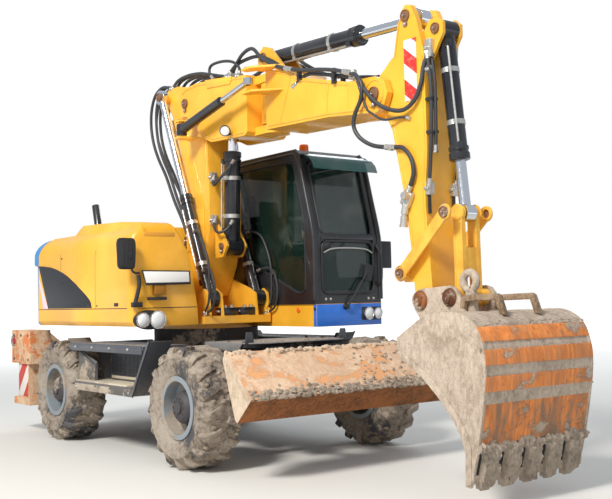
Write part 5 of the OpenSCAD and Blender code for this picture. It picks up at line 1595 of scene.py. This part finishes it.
# %% Steps
eased("side_steps", step_black, width=0.005)
steps = Shape()
for side in (-1, 1):
    def low_high(a, b, side=side):
        """The corners of a box that is drawn for the right side."""
        y = sorted((-side * a[1], -side * b[1])) if side > 0 else (a[1], b[1])
        return at(a[0], y[0], a[2]), at(b[0], y[1], b[2])
    steps.box(*low_high((-0.600, -1.246, 0.676), (0.560, -0.915, 0.694)), wood_tread, 0.004)
    steps.box(*low_high((-0.630, -1.2445, 0.585), (0.650, -1.2395, 0.655)), mud_on_steel, 0.002)
    steps.box(*low_high((-0.745, -1.247, 0.995), (0.880, -1.239, 1.078)), step_black, 0.004)
    steps.box(*low_high((-0.230, -1.016, 0.712), (0.550, -1.009, 0.740)), wood_tread, 0.003)
    for k in range(27):                            # the mesh of the tool box
        x = -0.215 + k * 0.029
        steps.box(*low_high((x, -1.0135, 0.745), (x + 0.007, -1.0095, 1.020)), black_plastic, 0.0)
    for k in range(10):
        z = 0.755 + k * 0.028
        steps.box(*low_high((-0.225, -1.0125, z), (0.552, -1.0095, z + 0.006)), black_plastic, 0.0)
    for x in (-0.60, -0.20, 0.20, 0.60):
        steps.bolt(at(x, side * 1.247, 1.036), Y * side, 0.012, plated)
        steps.bolt(at(x, side * 1.2445, 0.620), Y * side, 0.010, plated)
    steps.side_prism([(-0.660, 1.000), (-0.270, 0.850), (-0.270, 0.690), (-0.640, 0.690)],
                     *sorted((side * 1.182, side * 1.190)), mud_on_steel, 0.003)
    steps.hose([at(x, side * 1.235, z) for x, z in ((1.028, 1.128), (0.850, 0.862), (0.664, 0.584))], 0.008,
               black_plastic, 8, 1)
    for k in range(9):                             # chequer on the top plate
        x = -0.66 + k * 0.18
        steps.box(*low_high((x, -1.16, 1.0715), (x + 0.11, -1.14, 1.0745)), deck_grey, 0.001)
        steps.box(*low_high((x + 0.05, -1.06, 1.0715), (x + 0.16, -1.04, 1.0745)), deck_grey, 0.001)
steps.done("step_details", "chassis", "dark_steel")

# %% [markdown]
# ## Deck over the front axle
# A grey cover plate with a folded edge lies on the chassis behind the blade. It is bolted down, and dust
# lies on it.

# %% Deck cover
deck = Shape()
deck.prism([at(x, y, 1.081) for x, y in ((0.98, -0.610), (1.640, -0.610), (1.760, -0.420), (1.760, 0.420),
                                         (1.640, 0.610), (0.98, 0.610))], Z * 0.012, deck_grey, 0.003)
for side in (-1, 1):
    deck.side_prism([(0.98, 1.092), (1.640, 1.092), (1.560, 1.010), (0.98, 1.030)],
                    *sorted((side * 0.606, side * 0.616)), deck_grey, 0.002)
    deck.prism([at(1.655, side * y, z) for y, z in ((0.600, 1.085), (0.500, 1.085), (0.520, 1.190),
                                                    (0.585, 1.190))], X * 0.012, step_black, 0.003)
    for x in (1.06, 1.32, 1.58):
        deck.bolt(at(x, side * 0.560, 1.093), Z, 0.014, mud_on_steel)
rng = random.Random(3)
for _ in range(40):
    place = at(rng.uniform(1.45, 1.72), rng.uniform(-0.38, 0.38), 1.094)
    size = (rng.uniform(0.012, 0.03), rng.uniform(0.012, 0.03), 0.008)
    deck.lump(place, size, grey_clods, rng)
for x0 in (-2.425, -2.095):                        # rear cross plates: bolts, and the end of a tow pin
    for y in (-0.56, -0.40, 0.40, 0.56):
        deck.bolt(at(x0 - 0.0155, y, 0.930), -X, 0.009, mud_on_steel)
deck.rod(at(-2.385, 0, 0.520), at(-2.385, 0, 0.545), 0.024, mud_on_steel, 16)
deck.done("deck_details", "chassis", "dark_steel")

# %% [markdown]
# ## Stabilisers
# The stabilisers are pale orange and dusty, with a striped panel on the foot and a lamp behind a wire guard.

# %% Stabilisers
for side, node in ((-1, "stabiliser_right"), (1, "stabiliser_left")):
    eased(node, stab_paint, width=0.007)
    stab = Shape()
    out = Y * side
    y = side * 1.2505
    stab.side_prism([(-2.440, 0.815), (-1.870, 0.815), (-1.870, 1.176), (-2.440, 1.176)],
                    *sorted((y, y + side * 0.003)), stab_paint, 0.001)
    stab.side_prism([(-2.285, 0.415), (-1.995, 0.415), (-1.995, 0.790), (-2.285, 0.790)],
                    *sorted((side * 1.2255, side * 1.2285)), hazard_low, 0.001)
    for x in (-2.36, -2.14, -1.92):
        stab.bolt(at(x, y + side * 0.003, 1.130), out, 0.013, mud_on_steel)
        stab.bolt(at(x, y + side * 0.003, 0.850), out, 0.013, mud_on_steel)
    place = at(-2.360, side * 1.2535, 1.060)
    stab.turned([(0, 0.012), (0.024, 0.014), (0.040, 0.010), (0.044, 0.0)], place, out, red_plastic, 28)
    for k in range(3):                             # wire guard
        a = k * math.pi / 3
        d = Vector((math.cos(a), 0, math.sin(a))) * 0.062
        stab.hose([place - d, place - d * 0.8 + out * 0.030, place + d * 0.8 + out * 0.030, place + d],
                  0.0035, mud_on_steel, 6, 4)
    stab.done(node + "_details", node, "rusty_steel")
